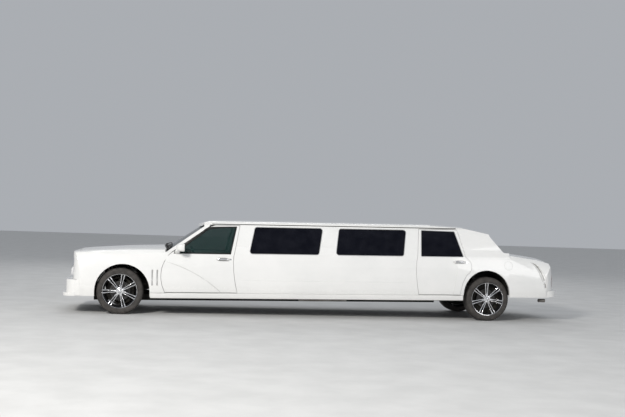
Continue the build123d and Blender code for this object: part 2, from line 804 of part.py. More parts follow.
def screen_rebate(near, deep):
    """The layer between two distances behind the windscreen's surface, within its pillars."""
    layer = behind_screen(near) - behind_screen(deep)
    return layer & cabin_inner() & block(500, 1500, -1200, 1200, 900, CAP_FOOT_Z - 2)


def build_glazing(parts):
    """Bowed windscreen and flat rear window, set just inside the body's own lines."""
    pane = screen_rebate(5, 14) - parts["roof"] - parts["front_fender_left"] - parts["front_fender_right"]
    pane -= hood_plan(PANEL_GAP / 2)
    pane -= clip(FRONT_SECTIONS, inset=12, drop=COWL_DROP)
    parts["windscreen"] = largest(pane)
    parts["rear_window"] = largest(backlight_tool(-8, -14) - parts["rear_deck"] - parts["roof"])


def build_floor(parts):
    """Frame, floor, bulkhead, rockers and wheel housings."""
    rails = []
    for s in (-1, 1):
        y0, y1 = sorted((s * RAIL_IN_Y, s * RAIL_OUT_Y))
        rails += [
            block(-640, -360, y0, y1, 300, 380),
            block(-440, -360, y0, y1, 190, 380),
            block(-400, 5240, y0, y1, 190, 290),
            block(5140, 5240, y0, y1, 190, 460),
            block(5240, 7120, y0, y1, 380, 460),
        ]
    for x in (560, 1500, 2400, 3300, 4200, 5100):
        rails.append(block(x - 40, x + 40, -RAIL_IN_Y, RAIL_IN_Y, 205, 240))
    for x, low in ((-600, 315), (6650, 395), (7080, 395)):
        rails.append(block(x - 30, x + 30, -RAIL_IN_Y, RAIL_IN_Y, low, low + 60))
    frame = rails[0]
    for piece in rails[1:]:
        frame += piece
    parts["chassis_frame"] = frame

    pan = block(COWL, 5140, -INNER_WALL_Y, INNER_WALL_Y, FLOOR_Z - FLOOR_THICK, FLOOR_Z)
    pan += block(COWL, 5110, -TUNNEL_Y, TUNNEL_Y, FLOOR_Z - FLOOR_THICK, TUNNEL_Z)
    pan += block(5110, 5140, -INNER_WALL_Y, INNER_WALL_Y, FLOOR_Z - FLOOR_THICK, REAR_FLOOR_Z)
    pan += block(5110, 5560, -INNER_WALL_Y, INNER_WALL_Y, REAR_FLOOR_Z - 25, REAR_FLOOR_Z)
    pan += block(5560, 6360, -540, 540, REAR_FLOOR_Z - 25, REAR_FLOOR_Z)
    pan += block(6330, 6420, -540, 540, 462, 487)
    pan += block(6420, 7180, -680, 680, 462, 487)
    pan += block(6330, 6360, -540, 540, 462, 1005)
    pan -= block(COWL - 5, 5200, -TUNNEL_Y + 25, TUNNEL_Y - 25, 200, TUNNEL_Z - 25)
    parts["floor_pan"] = pan

    wall = block(640, COWL, -838, 838, FLOOR_Z - FLOOR_THICK, 935)
    wall += block(640, COWL, -780, 780, 935, 990)
    wall -= block(600, 720, -TUNNEL_Y + 25, TUNNEL_Y - 25, 200, TUNNEL_Z - 25)
    cowl = clip(FRONT_SECTIONS, inset=12, drop=COWL_DROP) - clip(FRONT_SECTIONS, inset=38, drop=COWL_DROP + 18)
    cowl = cowl & block(600, 812, -COWL_HALF_WIDTH, COWL_HALF_WIDTH, 700, 1300)
    parts["cowl_panel"] = largest(cowl - hood_plan(PANEL_GAP / 2) - parts["roof"])
    parts["bulkhead"] = wall

    skirt = extrude(
        outline(
            lambda y, z: (at(490), -y, z),
            (INNER_WALL_Y, 262),
            [
                (950, SKIRT_BOTTOM_Z),
                (978, 268),
                (SKIRT_Y, 296),
                (SKIRT_Y + 2, 335),
                (972, SKIRT_TOP_Z),
                (INNER_WALL_Y, SKIRT_TOP_Z),
            ],
        ),
        amount=5108,
        dir=(1, 0, 0),
    )
    parts["side_skirts"] = group(*both_sides(skirt))

    front_liner = arch_liner(FRONT_ARCH, 915, 520, 300)
    rear_liner = arch_liner(REAR_ARCH, 925, 560, 352) - block(5400, 5890, -1000, -852, 300, 900)
    parts["wheel_housings"] = group(*both_sides(front_liner), *both_sides(rear_liner))


def build_ends(parts):
    """Nose, grille, lamps and bumpers."""
    front = front_solid()
    hollow = clip(FRONT_SECTIONS, inset=40, drop=36) & nose_plan(-46) & nose_profile(46)
    zone = block(-900, FENDER_FRONT, -1000, 1000, BUMPER_TOP_Z, 1200)
    zone += block(FENDER_FRONT, -560, -NOSE_TOP_Y, NOSE_TOP_Y, 800, 1200)
    nose = (front - hollow - hood_plan(PANEL_GAP / 2)) & zone
    grille_hole = block(-900, -600, -330, 330, 575, 925)
    nose -= grille_hole
    lamp_hole = block(-900, -640, -840, -400, 700, 880)
    nose -= lamp_hole
    nose -= mirror(lamp_hole, Plane.XZ)
    parts["nose_panel"] = largest(nose)

    shell = block(-838, -700, -330, 330, 575, 925) - block(-900, -712, -292, 292, 612, 888)
    parts["grille_shell"] = shell
    bars = block(-716, -712, -292, 292, 612, 888)
    for i in range(-9, 10):
        bars += block(-822, -716, i * 30 - 5, i * 30 + 5, 612, 888)
    parts["grille_bars"] = bars

    lamp = clip(FRONT_SECTIONS, inset=4, drop=4) & nose_plan(-4) & nose_profile(4)
    lamp = lamp & block(-900, -650, -838, -402, 702, 878)
    parts["headlamps"] = group(*both_sides(largest(lamp)))

    bumper = bumper_plan(-874, 0) - block(-690, 0, -1200, 1200, 0, 1200)
    bumper -= bumper_plan(-874, 60)
    body = bumper & block(-1000, -690, -1200, 1200, NOSE_BOTTOM_Z, BUMPER_TOP_Z - 2)
    lip = (bumper_plan(-924, 0) - bumper_plan(-874, 58)) & block(-1000, -690, -1200, 1200, NOSE_BOTTOM_Z, 338)
    shelf = bumper_plan(-874, 30) & block(-1000, -690, -1200, 1200, BUMPER_TOP_Z - 36, BUMPER_TOP_Z - 2)
    parts["front_bumper"] = body + lip + shelf

    tail_bar = rear_bumper_plan(0) - rear_bumper_plan(70)
    tail_bar = tail_bar & block(7040, 7500, -1100, 1100, TAIL_BOTTOM_Z, BUMPER_REAR_TOP_Z - 2)
    parts["rear_bumper"] = tail_bar - side_prism((7040, 300), [(7040, TAIL_BOTTOM_Z), (7400, 350), (7400, 300)])
    lamp_zone = block(7060, 7400, -990, -TAIL_LAMP_Y, BUMPER_REAR_TOP_Z + 44, 850)
    lamp = largest((rear_solid() - rear_hollow()) & lamp_zone & block(7060, 7400, -880, -TAIL_LAMP_Y, 0, 1200))
    parts["tail_lamps"] = group(*both_sides(lamp))
    quarter = largest(parts["rear_quarter_left"] - lamp)
    parts["rear_quarter_left"], parts["rear_quarter_right"] = both_sides(quarter)


TAIL_LAMP_Y = 735


def bumper_outline(open_end, tip, side, corner, bow):
    """Plan outline of a bumper: straight ends, round corners and a bowed face."""
    sign = 1 if tip > open_end else -1
    face = tip - sign * bow
    bend = corner * (1 - sqrt(0.5))
    return (open_end, -side), [
        (face - sign * corner, -side),
        (face - sign * bend, -side + bend, face, -side + corner),
        (tip, 0, face, side - corner),
        (face - sign * bend, side - bend, face - sign * corner, side),
        (open_end, side),
    ]


def bumper_plan(front, inset):
    start, moves = bumper_outline(-560, front + inset, 958 - inset, 170 - inset / 2, 34)
    return plan_prism(start, moves, 0, 1200)


def rear_bumper_plan(inset):
    start, moves = bumper_outline(7000, 7368 - inset, 960 - inset, 250 - inset / 2, 70)
    return plan_prism(start, moves, 0, 1200)


def build_cabin_fittings(parts):
    """Dashboard, steering wheel, seats, partition, couch and drinks cabinet."""
    parts["dashboard"] = side_prism(
        (800, 640), [(800, 985), (960, 985), (1080, 900), (1060, 700), (960, 640)], -820, 820
    ) + block(COWL, 800, -700, 700, 760, 900)
    rim = flat_disc(198, 16, 26) - flat_disc(172, 16, 40)
    wheel = rim + Box(40, 360, 16) + Pos(95, 0, 0) * Box(180, 44, 16) + Pos(0, 0, -78) * Box(56, 56, 172)
    wheel = Pos(at(1190), -390, 900) * (Rot(0, 65, 0) * wheel)
    parts["steering_wheel"] = largest(wheel - parts["dashboard"])

    seats = []
    for s in (-1, 1):
        seat = block(1340, 1850, s * 390 - 250, s * 390 + 250, FLOOR_Z, 560)
        back = side_prism((1760, 560), [(1840, 1080), (1960, 1080), (1900, 560)], s * 390 - 240, s * 390 + 240)
        rest = block(1850, 1940, s * 390 - 130, s * 390 + 130, 1080, 1210)
        seats.append(seat + back + rest)
    parts["front_seats"] = group(*seats)

    couch = block(2250, 4700, 260, INNER_WALL_Y - 4, FLOOR_Z, 700)
    couch += block(2250, 4700, 690, INNER_WALL_Y - 4, 700, 960)
    bench = side_prism((5150, 512), [(5150, 760), (5650, 760), (5760, 1060), (5870, 1060), (5810, 512)], -530, 530)
    parts["cabin_seats"] = group(couch, bench)
    parts["partition"] = block(2010, 2050, -700, 700, FLOOR_Z + 112, 1400) - block(1990, 2070, -520, 520, 1000, 1320)
    parts["drinks_cabinet"] = block(2350, 4300, -(INNER_WALL_Y - 4), -560, FLOOR_Z, 820)


def build_running_gear(parts):
    """Engine, drivetrain and suspension. Heights here are real ones except on pieces fixed to the body."""
    parts["engine_block"] = block(-250, 480, -280, 280, 292, 800)
    front_joint = (485, 0, 350)
    rear_joint = (WHEELBASE - 131, 0, TYRE_RADIUS)
    parts["driveshaft"] = rod(front_joint, rear_joint, 36)
    y = -EXHAUST_Y
    route = ((720, y, 250), (5190, y, 250), (5420, y, 420), (6480, y, 420), (6800, y, 330), (7200, y, 330))
    line = Polyline(*[(at(x), y, z) for x, y, z in route])
    pipes = sweep(Plane(origin=line @ 0, z_dir=(1, 0, 0)) * RegularPolygon(26, 8), path=line, transition=Transition.RIGHT)
    pipes += block(2900, 3700, y - 85, y + 30, 205, 292)
    parts["exhaust"] = pipes


EXHAUST_Y = 515


def flat_disc(radius, flats, height):
    """Disc about Z with many flat sides, centred on the origin."""
    return extrude(RegularPolygon(radius, flats), amount=height / 2, both=True)


def flat_cone(radius, far_radius, flats, y, far_y):
    """Tapered many-sided plug about Y, its radii measured to the flats, one of which lies level below."""
    ends = []
    for size, place in ((radius, y), (far_radius, far_y)):
        ends.append(flat_ring(size, flats, place))
    return loft(ends, ruled=True)


def flat_ring(radius, flats, y):
    """Many-sided face across Y."""
    across = Plane(origin=(0, y, 0), x_dir=(1, 0, 0), z_dir=(0, 1, 0))
    return across * RegularPolygon(radius, flats, major_radius=False, rotation=180 / flats)


def wheel_rim(side):
    """Alloy rim with split spokes and brake disc, axis along Y at the origin, outside at -Y."""
    half = TYRE_WIDTH / 2
    lip_y, back_y, well_y = -half + 6, half - 6, -half + 40
    bead, barrel_radius = RIM_RADIUS - 12, RIM_RADIUS - 28
    section = [(RIM_RADIUS, lip_y), (bead, lip_y), (barrel_radius, well_y), (barrel_radius, back_y)]
    rim = ring_of_flats(section + [(RIM_RADIUS, back_y)], WHEEL_FLATS)
    face_y = -half + 40
    rim += flat_cone(HUB_RADIUS, HUB_RADIUS, HUB_FLATS, face_y - 20, face_y + 80)
    for i in range(SPOKE_PAIRS):
        turn = 360 / SPOKE_PAIRS * i + 12
        for split in (-6.5, 6.5):
            spoke = Pos(150, face_y, 0) * Box(200, 22, 13)
            rim += Rot(0, turn + split, 0) * spoke
    rim += flat_cone(158, 158, HUB_FLATS, face_y + 62, face_y + 84)
    rim -= flat_cone(SPINDLE_BORE, SPINDLE_BORE, 12, face_y + 32, face_y + 96)
    return rim if side < 0 else mirror(rim, Plane.XZ)


def wheel_tyre():
    """Low tyre section as a ring of flats about the Y axis, one of them on the ground."""
    half = TYRE_WIDTH / 2
    side = [(RIM_RADIUS + 46, half), (TYRE_RADIUS, half - TYRE_SHOULDER)]
    bead = (RIM_RADIUS, half - 9)
    far = [(r, -y) for r, y in reversed(side)]
    return ring_of_flats([bead] + side + far + [(RIM_RADIUS, 9 - half)], WHEEL_FLATS)


def build_wheels(parts):
    tyre = wheel_tyre()
    for end, station in (("front", 0), ("rear", WHEELBASE)):
        for side, hand in ((-1, "left"), (1, "right")):
            place = Pos(at(station), side * TRACK_HALF, TYRE_RADIUS)
            parts[f"{end}_rim_{hand}"] = place * wheel_rim(side)
            parts[f"{end}_tyre_{hand}"] = place * tyre


def build_axles(parts):
    """Front arms and knuckles, and the live rear axle."""
    z = TYRE_RADIUS
    y = -STEER_AXIS_Y
    ball = Pos(at(0), y, z) * flat_disc(KINGPIN_BORE, 8, 800)
    low = block(-45, 45, y + 34, -RAIL_OUT_Y, 190, 218) + block(-24, 24, y - 16, y + 40, 190, 218)
    high = block(-35, 35, y + 34, -RAIL_OUT_Y, 530, 552) + block(-24, 24, y - 16, y + 40, 530, 552)
    tower = block(-60, 60, -RAIL_OUT_Y - 40, -RAIL_OUT_Y, 190, 560)
    spring = rod((0, -590, 218), (0, -590, 530), 45)
    arms = low + high + tower + spring - ball
    parts["front_suspension"] = group(*both_sides(arms))

    knuckle = block(-28, 28, y - 20, y + 24, 224, 524)
    knuckle += Pos(at(0), y, 374) * flat_disc(KINGPIN, 8, 356)
    knuckle += rod((0, y, z), (0, -TRACK_HALF - 20, z), SPINDLE, 12)
    parts["knuckle_left"], parts["knuckle_right"] = both_sides(knuckle)

    tube = rod((WHEELBASE, -700, z), (WHEELBASE, 700, z), 42)
    tube += rod((WHEELBASE - 130, 0, z), (WHEELBASE + 100, 0, z), 112, 12)
    for s in (-1, 1):
        tube += rod((WHEELBASE, s * 690, z), (WHEELBASE, s * (TRACK_HALF + 20), z), SPINDLE, 12)
        tube += block(5220, WHEELBASE, *sorted((s * 410, s * 470)), 340, 392)
        tube += rod((WHEELBASE - 60, s * 440, z), (WHEELBASE - 60, s * 440, 480), 48)
    parts["rear_axle"] = largest(tube - raked(parts["chassis_frame"]))


UNRAKED = ("rim", "tyre", "knuckle", "rear_axle", "front_suspension", "driveshaft")


def main():
    parts = {}
    build_panels(parts)
    build_mirrors(parts)
    build_glazing(parts)
    build_floor(parts)
    build_ends(parts)
    build_cabin_fittings(parts)
    build_running_gear(parts)
    build_wheels(parts)
    build_axles(parts)
    os.makedirs("parts", exist_ok=True)
    for name, piece in parts.items():
        if not any(word in name for word in UNRAKED):
            piece = raked(piece)
        export_step(piece, f"parts/{name}.step")


main()
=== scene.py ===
"""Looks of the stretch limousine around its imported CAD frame. Places on the level body are in mm."""
from math import acos, atan2, cos, exp, hypot, pi, radians, sin, tan

import bmesh
import bpy
from mathutils import Matrix, Vector
from mathutils.bvhtree import BVHTree


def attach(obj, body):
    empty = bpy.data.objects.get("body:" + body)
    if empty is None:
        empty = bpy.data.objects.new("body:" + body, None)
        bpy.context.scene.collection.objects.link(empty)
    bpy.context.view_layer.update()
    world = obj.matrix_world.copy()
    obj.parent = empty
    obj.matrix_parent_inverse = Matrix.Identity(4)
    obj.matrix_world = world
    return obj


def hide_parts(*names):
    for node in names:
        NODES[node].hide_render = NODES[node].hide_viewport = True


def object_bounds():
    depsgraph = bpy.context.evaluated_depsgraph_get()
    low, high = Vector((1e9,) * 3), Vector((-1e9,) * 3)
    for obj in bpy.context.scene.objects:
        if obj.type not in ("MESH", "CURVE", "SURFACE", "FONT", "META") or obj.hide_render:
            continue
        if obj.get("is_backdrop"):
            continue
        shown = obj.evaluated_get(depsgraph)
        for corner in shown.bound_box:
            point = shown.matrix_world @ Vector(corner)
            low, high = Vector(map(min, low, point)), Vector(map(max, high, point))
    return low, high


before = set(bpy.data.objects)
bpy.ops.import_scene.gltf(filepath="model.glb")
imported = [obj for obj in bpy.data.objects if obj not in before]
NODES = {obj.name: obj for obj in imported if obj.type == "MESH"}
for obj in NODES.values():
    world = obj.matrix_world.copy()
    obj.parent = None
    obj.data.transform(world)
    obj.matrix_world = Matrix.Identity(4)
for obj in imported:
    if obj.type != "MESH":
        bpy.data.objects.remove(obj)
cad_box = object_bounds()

SIDES = ((-1, "left"), (1, "right"))

# Sizes shared with the CAD source
WHEELBASE = 6038
LENGTH = 8292
FRONT_AXLE_X = 924 - LENGTH / 2
TYRE_RADIUS = 366
TRACK_HALF = 812
RAKE = radians(0.75)
SILL_Y, SILL_Z = 953, 988
WINDOW_TOP_Y, WINDOW_TOP_Z = 760, 1420
SHOULDER_LEAN = 0.187


def level(station, y, z):
    """Row-frame point in metres of a place on the level body, given in mm."""
    dz = z - TYRE_RADIUS
    return Vector((
        (FRONT_AXLE_X + station * cos(RAKE) - dz * sin(RAKE)) / 1000,
        y / 1000,
        (TYRE_RADIUS + station * sin(RAKE) + dz * cos(RAKE)) / 1000,
    ))


def way_of(x, z):
    """Direction on the level body, as long as its two parts make it."""
    return level(x, 0, z) - level(0, 0, 0)


# Directions of the level body
AFT = way_of(1, 0).normalized()
UPWARD = way_of(0, 1).normalized()
RIGHTWARD = Vector((0, 1, 0))


# Materials

def rgba(c):
    """Colour with full alpha. One number is a grey."""
    return (*c, 1.0) if isinstance(c, tuple) else (c, c, c, 1.0)


class Finish:
    """A material in the making: its shader, and the nodes that feed it from the place on the object."""

    def __init__(self, name):
        self.material = bpy.data.materials.new(name)
        self.material.use_nodes = True
        self.tree = self.material.node_tree
        self.place = self.add("TexCoord").outputs["Object"]

    def feed(self, node, inputs):
        """Gives a node's inputs their values, or the outputs that drive them."""
        for key, value in inputs.items():
            if isinstance(value, bpy.types.NodeSocket):
                self.tree.links.new(value, node.inputs[key])
            else:
                node.inputs[key].default_value = value

    def add(self, kind, inputs=(), **settings):
        node = self.tree.nodes.new("ShaderNode" + kind)
        for key, value in settings.items():
            setattr(node, key, value)
        self.feed(node, dict(inputs))
        return node

    def noise(self, scale, detail=4.0, rough=0.55, stretch=None):
        place = self.place
        if stretch:
            place = self.add("Mapping", {"Vector": place, "Scale": stretch}).outputs["Vector"]
        inputs = {"Vector": place, "Scale": scale, "Detail": detail, "Roughness": rough}
        return self.add("TexNoise", inputs).outputs["Fac"]

    def colour(self, source, low, high):
        """A colour that changes from low to high over the middle of a noise."""
        node = self.add("ValToRGB", {"Fac": source})
        for stop, place, shade in zip(node.color_ramp.elements, (0.35, 0.65), (low, high)):
            stop.position = place
            stop.color = rgba(shade)
        return node.outputs["Color"]

    def spread(self, source, low, high):
        """A value from low to high, as the source goes from 0 to 1."""
        return self.add("MapRange", {"Value": source, "To Min": low, "To Max": high}).outputs["Result"]

    def product(self, one, other):
        return self.add("Math", {0: one, 1: other}, operation="MULTIPLY").outputs["Value"]

    def bump(self, source, strength, distance):
        inputs = {"Height": source, "Strength": strength, "Distance": distance}
        return self.add("Bump", inputs).outputs["Normal"]

    def finish(self, inputs):
        self.feed(self.tree.nodes["Principled BSDF"], inputs)
        return self.material


def grained(name, low, high, scale, rough, bump, bump_scale, extra=(), stretch=None):
    """A surface whose colour and roughness vary softly over two noises, with a fine bump."""
    f = Finish(name)
    fine = f.noise(bump_scale, detail=3, stretch=stretch)
    inputs = {
        "Base Color": f.colour(f.noise(scale, stretch=stretch), low, high),
        "Roughness": f.spread(fine, *rough),
    }
    if bump:
        inputs["Normal"] = f.bump(fine, bump, 0.002)
    return f.finish(inputs | dict(extra))


def body_paint():
    """White clear-coated paint with faint orange peel, and road film low down."""
    f = Finish("white_paint")
    base = f.colour(f.noise(1.6, detail=5), (0.80, 0.80, 0.785), (0.845, 0.84, 0.825))
    height = f.add("SeparateXYZ", {"Vector": f.place}).outputs["Z"]
    near_road = {"Value": height, "From Min": 0.62, "From Max": 0.24}
    low = f.add("MapRange", near_road, interpolation_type="SMOOTHSTEP").outputs["Result"]
    film = f.product(low, f.noise(22, detail=8, rough=0.7))
    dusty = {"Factor": f.product(film, 0.24), "A": base, "B": rgba((0.46, 0.43, 0.37))}
    return f.finish({
        "Base Color": f.add("Mix", dusty, data_type="RGBA").outputs["Result"],
        "Roughness": f.spread(film, 0.24, 0.40),
        "Normal": f.bump(f.noise(240, detail=2), 0.012, 0.001),
        "Coat Weight": 0.7,
        "Coat Roughness": 0.03,
        "IOR": 1.5,
    })


def glass(name, tint, alpha_low, alpha_high, specular):
    """Tinted pane: a glossy shader over a part-clear body, with a faint film of dust."""
    f = Finish(name)
    dust = f.noise(6, detail=6)
    return f.finish({
        "Base Color": f.colour(dust, tint, tuple(min(1, c * 1.25 + 0.004) for c in tint)),
        "Alpha": f.spread(dust, alpha_low, alpha_high),
        "Roughness": 0.02,
        "IOR": 1.5,
        SPECULAR: specular,
    })


def leather(name, low, high):
    """Grained hide: small cells under a soft variation of colour."""
    f = Finish(name)
    cells = f.add("TexVoronoi", {"Vector": f.place, "Scale": 420}).outputs["Distance"]
    return f.finish({
        "Base Color": f.colour(f.noise(7, detail=5), low, high),
        "Normal": f.bump(cells, 0.3, 0.0008),
        "Roughness": 0.45,
        "Coat Weight": 0.08,
    })


SPECULAR = "Specular IOR Level"
METAL = {"Metallic": 1}

# Columns: dark and light colour, scale of their noise, roughness, bump, scale of its noise, other inputs,
# stretch of the noises
GRAINED = {
    "black_plastic": (0.012, (0.022, 0.022, 0.021), 40, (0.42, 0.6), 0.15, 600, {SPECULAR: 0.25}),
    "gloss_black": (0.008, 0.014, 40, (0.12, 0.2), 0, 200),
    "rubber_seal": (0.010, 0.02, 40, (0.6, 0.75), 0.1, 200),
    "tyre_rubber": ((0.034, 0.031, 0.029), (0.062, 0.056, 0.051), 14, (0.7, 0.92), 0.25, 340),
    "chrome": ((0.78, 0.78, 0.79), (0.84, 0.84, 0.85), 8, (0.05, 0.12), 0.004, 200, METAL),
    "satin_trim": ((0.50, 0.51, 0.51), 0.60, 10, (0.25, 0.35), 0.01, 200, {"Metallic": 0.5}),
    "polished_alloy": ((0.78, 0.78, 0.79), (0.88, 0.88, 0.89), 14, (0.07, 0.13), 0.006, 200, METAL),
    # Near-black: the valve stems, and painted shade in the rim barrel and the brake disc's drill holes
    "dark_alloy": ((0.008, 0.008, 0.009), (0.018, 0.018, 0.02), 14, (0.6, 0.75), 0.05, 200, {SPECULAR: 0.12}),
    # Brake disc steel, darkened with painted shade of the wheel's inside
    "brake_disc_painted_shade": (0.05, (0.085, 0.082, 0.08), 60, (0.35, 0.5), 0.04, 500, METAL, (1, 0.05, 1)),
    "cast_steel": ((0.045, 0.043, 0.04), (0.10, 0.09, 0.08), 18, (0.55, 0.8), 0.3, 150, {"Metallic": 0.5}),
    "exhaust_steel": ((0.22, 0.20, 0.18), (0.36, 0.34, 0.32), 9, (0.35, 0.55), 0.1, 200, {"Metallic": 0.9}),
    "underbody": ((0.014, 0.014, 0.013), (0.030, 0.028, 0.024), 12, (0.6, 0.85), 0.35, 120, {SPECULAR: 0.15}),
    "red_lens": ((0.30, 0.010, 0.010), (0.40, 0.016, 0.014), 30, (0.1, 0.18), 0.05, 90),
    "pale_lens": ((0.62, 0.56, 0.55), (0.72, 0.66, 0.65), 30, (0.1, 0.18), 0.05, 90),
    "amber_lens": ((0.55, 0.19, 0.02), (0.66, 0.25, 0.03), 30, (0.1, 0.2), 0.05, 90),
    # Pale grey: the fuel door's joint ring, and painted shade on the flare crease strip and the cove's near
    # half
    "crease_grey": ((0.56, 0.555, 0.54), (0.62, 0.615, 0.60), 12, (0.35, 0.45), 0.02, 200),
    # Darker grey: the mirror sail and vent inserts, and painted shade in the door handle cups and the cove's
    # far half
    "slot_grey": ((0.33, 0.32, 0.30), (0.42, 0.41, 0.39), 30, (0.4, 0.55), 0.05, 200),
    "mirror_glass": ((0.82, 0.84, 0.86), (0.86, 0.88, 0.90), 4, (0.01, 0.03), 0, 200, METAL),
    "blank_plate": ((0.74, 0.74, 0.71), (0.80, 0.80, 0.77), 20, (0.3, 0.4), 0.04, 200),
    "dash_plastic": ((0.035, 0.036, 0.037), (0.055, 0.055, 0.056), 9, (0.5, 0.65), 0.3, 700),
    "carpet": ((0.020, 0.020, 0.022), (0.05, 0.05, 0.052), 300, (0.9, 1.0), 0.9, 900),
    "headliner": ((0.30, 0.30, 0.29), (0.36, 0.355, 0.345), 160, (0.85, 0.95), 0.3, 800),
    "headliner_dark": ((0.05, 0.05, 0.052), (0.085, 0.084, 0.082), 120, (0.9, 1.0), 0.5, 700),
    "dark_wood": ((0.045, 0.018, 0.008), (0.12, 0.05, 0.02), 9, (0.18, 0.28), 0.03, 200, {}, (0.25, 4, 4)),
}

# Columns: tint, lowest and highest cover, specular level
PANES = {
    "clear_glass": ((0.010, 0.030, 0.028), 0.50, 0.57, 0.3),
    "screen_glass": ((0.012, 0.028, 0.028), 0.66, 0.72, 0.35),
    "dark_glass": ((0.002, 0.0024, 0.006), 0.965, 0.98, 0.14),
    "lamp_glass": ((0.75, 0.77, 0.78), 0.16, 0.22, 0.5),
}
MATS = {name: grained(name, *row) for name, row in GRAINED.items()}
MATS |= {name: glass(name, *row) for name, row in PANES.items()}
MATS["white_paint"] = body_paint()
MATS["black_leather"] = leather("black_leather", 0.018, (0.034, 0.033, 0.032))

# Material slot of the record that each finish belongs to, where their names differ
SLOTS = {
    "tyre": "tyre_rubber",
    "alloy": "polished_alloy dark_alloy",
    "bare_steel": "brake_disc_painted_shade",
    "chrome": "satin_trim mirror_glass",
    "black_trim": "rubber_seal black_plastic gloss_black slot_grey",
    "red_lamp": "red_lens pale_lens",
    "lamp_glass": "amber_lens",
    "white_paint": "crease_grey blank_plate",
    "leather": "black_leather",
    "cabin_plastic": "dash_plastic carpet headliner dark_wood",
}
SLOT_OF = {finish: slot for slot, finishes in SLOTS.items() for finish in finishes.split()}

# Words in the names of the CAD nodes that take each finish, looked up in this order
FINISHES = {
    "tyre_rubber": "tyre",
    "polished_alloy": "rim",
    "clear_glass": "front_door_glass",
    "screen_glass": "windscreen",
    "dark_glass": "glass rear_window",
    "lamp_glass": "headlamps",
    "pale_lens": "tail_lamps",
    "chrome": "grille",
    "underbody": "chassis_frame floor_pan bulkhead wheel_housings",
    "black_plastic": "cowl_panel",
    "cast_steel": "front_suspension rear_axle driveshaft engine_block knuckle",
    "exhaust_steel": "exhaust",
    "black_leather": "seats",
    "dash_plastic": "dashboard steering_wheel partition",
    "dark_wood": "drinks_cabinet",
}


FLAT_ANGLE = radians(28)
WELD_DISTANCE = 0.00002


def smoothing_group():
    """Node group that shades a mesh smooth across the edges that are flatter than the limit."""
    tree = bpy.data.node_groups.new("smooth_flats", "GeometryNodeTree")
    tree.interface.new_socket("Geometry", in_out="INPUT", socket_type="NodeSocketGeometry")
    tree.interface.new_socket("Geometry", in_out="OUTPUT", socket_type="NodeSocketGeometry")
    n, links = tree.nodes, tree.links
    start, end = n.new("NodeGroupInput"), n.new("NodeGroupOutput")
    faces = n.new("GeometryNodeSetShadeSmooth")
    edges = n.new("GeometryNodeSetShadeSmooth")
    edges.domain = "EDGE"
    edges.inputs["Shade Smooth"].default_value = False
    angle = n.new("GeometryNodeInputMeshEdgeAngle")
    sharp = n.new("FunctionNodeCompare")
    sharp.data_type = "FLOAT"
    sharp.operation = "GREATER_THAN"
    sharp.inputs["B"].default_value = FLAT_ANGLE
    links.new(start.outputs[0], faces.inputs["Geometry"])
    links.new(faces.outputs["Geometry"], edges.inputs["Geometry"])
    links.new(angle.outputs["Unsigned Angle"], sharp.inputs["A"])
    links.new(sharp.outputs["Result"], edges.inputs["Selection"])
    links.new(edges.outputs["Geometry"], end.inputs[0])
    return tree


SMOOTH = smoothing_group()

for name, node in NODES.items():
    matches = (finish for finish, words in FINISHES.items() if any(word in name for word in words.split()))
    finish = next(matches, "white_paint")
    node.data.materials.clear()
    node.data.materials.append(MATS[finish])
    weld = node.modifiers.new("weld", "WELD")
    weld.merge_threshold = WELD_DISTANCE
    node.modifiers.new("smooth_flats", "NODES").node_group = SMOOTH


# Mesh building

class Shape:
    """Vertices and faces gathered into one piece, each face with one of the piece's materials."""

    def __init__(self):
        self.verts, self.faces, self.tints = [], [], []

    def loft(self, rings, loop=True, caps=True, tint=0, around=False):
        """Skin over rings of matching points, closed along itself where it goes around."""
        base, n, count = len(self.verts), len(rings[0]), len(rings)
        for ring in rings:
            self.verts += [Vector(p) for p in ring]
        for i in range(count if around else count - 1):
            here, there = base + i * n, base + (i + 1) % count * n
            for j in range(n if loop else n - 1):
                k = (j + 1) % n
                self.faces.append((here + j, here + k, there + k, there + j))
                self.tints.append(tint)
        if caps and not around:
            self.faces += [
                tuple(range(base + n - 1, base - 1, -1)),
                tuple(range(base + n * (count - 1), base + n * count)),
            ]
            self.tints += [tint, tint]
        return self

    def box(self, low, high, bevel=0, tint=0):
        """Box between two corners in mm, level with the body, its edges cut by a bevel."""
        (x0, y0, z0), (x1, y1, z1) = low, high
        rings = []
        k = bevel
        heights = ((z0, k), (z0 + k, 0), (z1 - k, 0), (z1, k)) if bevel else ((z0, 0), (z1, 0))
        for z, cut in heights:
            a, b, c, d = x0 + cut, x1 - cut, y0 + cut, y1 - cut
            ring = [(a, c), (b, c), (b, d), (a, d)]
            if bevel:
                ring = [(a + k, c), (b - k, c), (b, c + k), (b, d - k)]
                ring += [(b - k, d), (a + k, d), (a, d - k), (a, c + k)]
            rings.append([level(x, y, z) for x, y in ring])
        return self.loft(rings, tint=tint)

    def finish(self, name, materials, body="body", smooth=32, slot=None):
        """The piece itself, riding on its CAD body."""
        materials = materials if isinstance(materials, tuple) else (materials,)
        mesh = bpy.data.meshes.new(name)
        mesh.from_pydata(self.verts, [], self.faces)
        mesh.polygons.foreach_set("material_index", self.tints)
        bm = bmesh.new()
        bm.from_mesh(mesh)
        bmesh.ops.remove_doubles(bm, verts=bm.verts, dist=1e-6)
        bmesh.ops.recalc_face_normals(bm, faces=bm.faces)
        bm.to_mesh(mesh)
        bm.free()
        mesh.polygons.foreach_set("use_smooth", [True] * len(mesh.polygons))
        mesh.set_sharp_from_angle(angle=radians(smooth))
        obj = bpy.data.objects.new(name, mesh)
        for m in materials:
            mesh.materials.append(MATS[m])
        bpy.context.scene.collection.objects.link(obj)
        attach(obj, body)
        slot or SLOT_OF.get(materials[0], materials[0])
        return obj


def turns(steps):
    """Angles evenly round a full turn."""
    return [2 * pi * i / steps for i in range(steps)]


def spaced(first, last, steps):
    """Places evenly from the first to the last."""
    return [first + (last - first) * i / steps for i in range(steps + 1)]


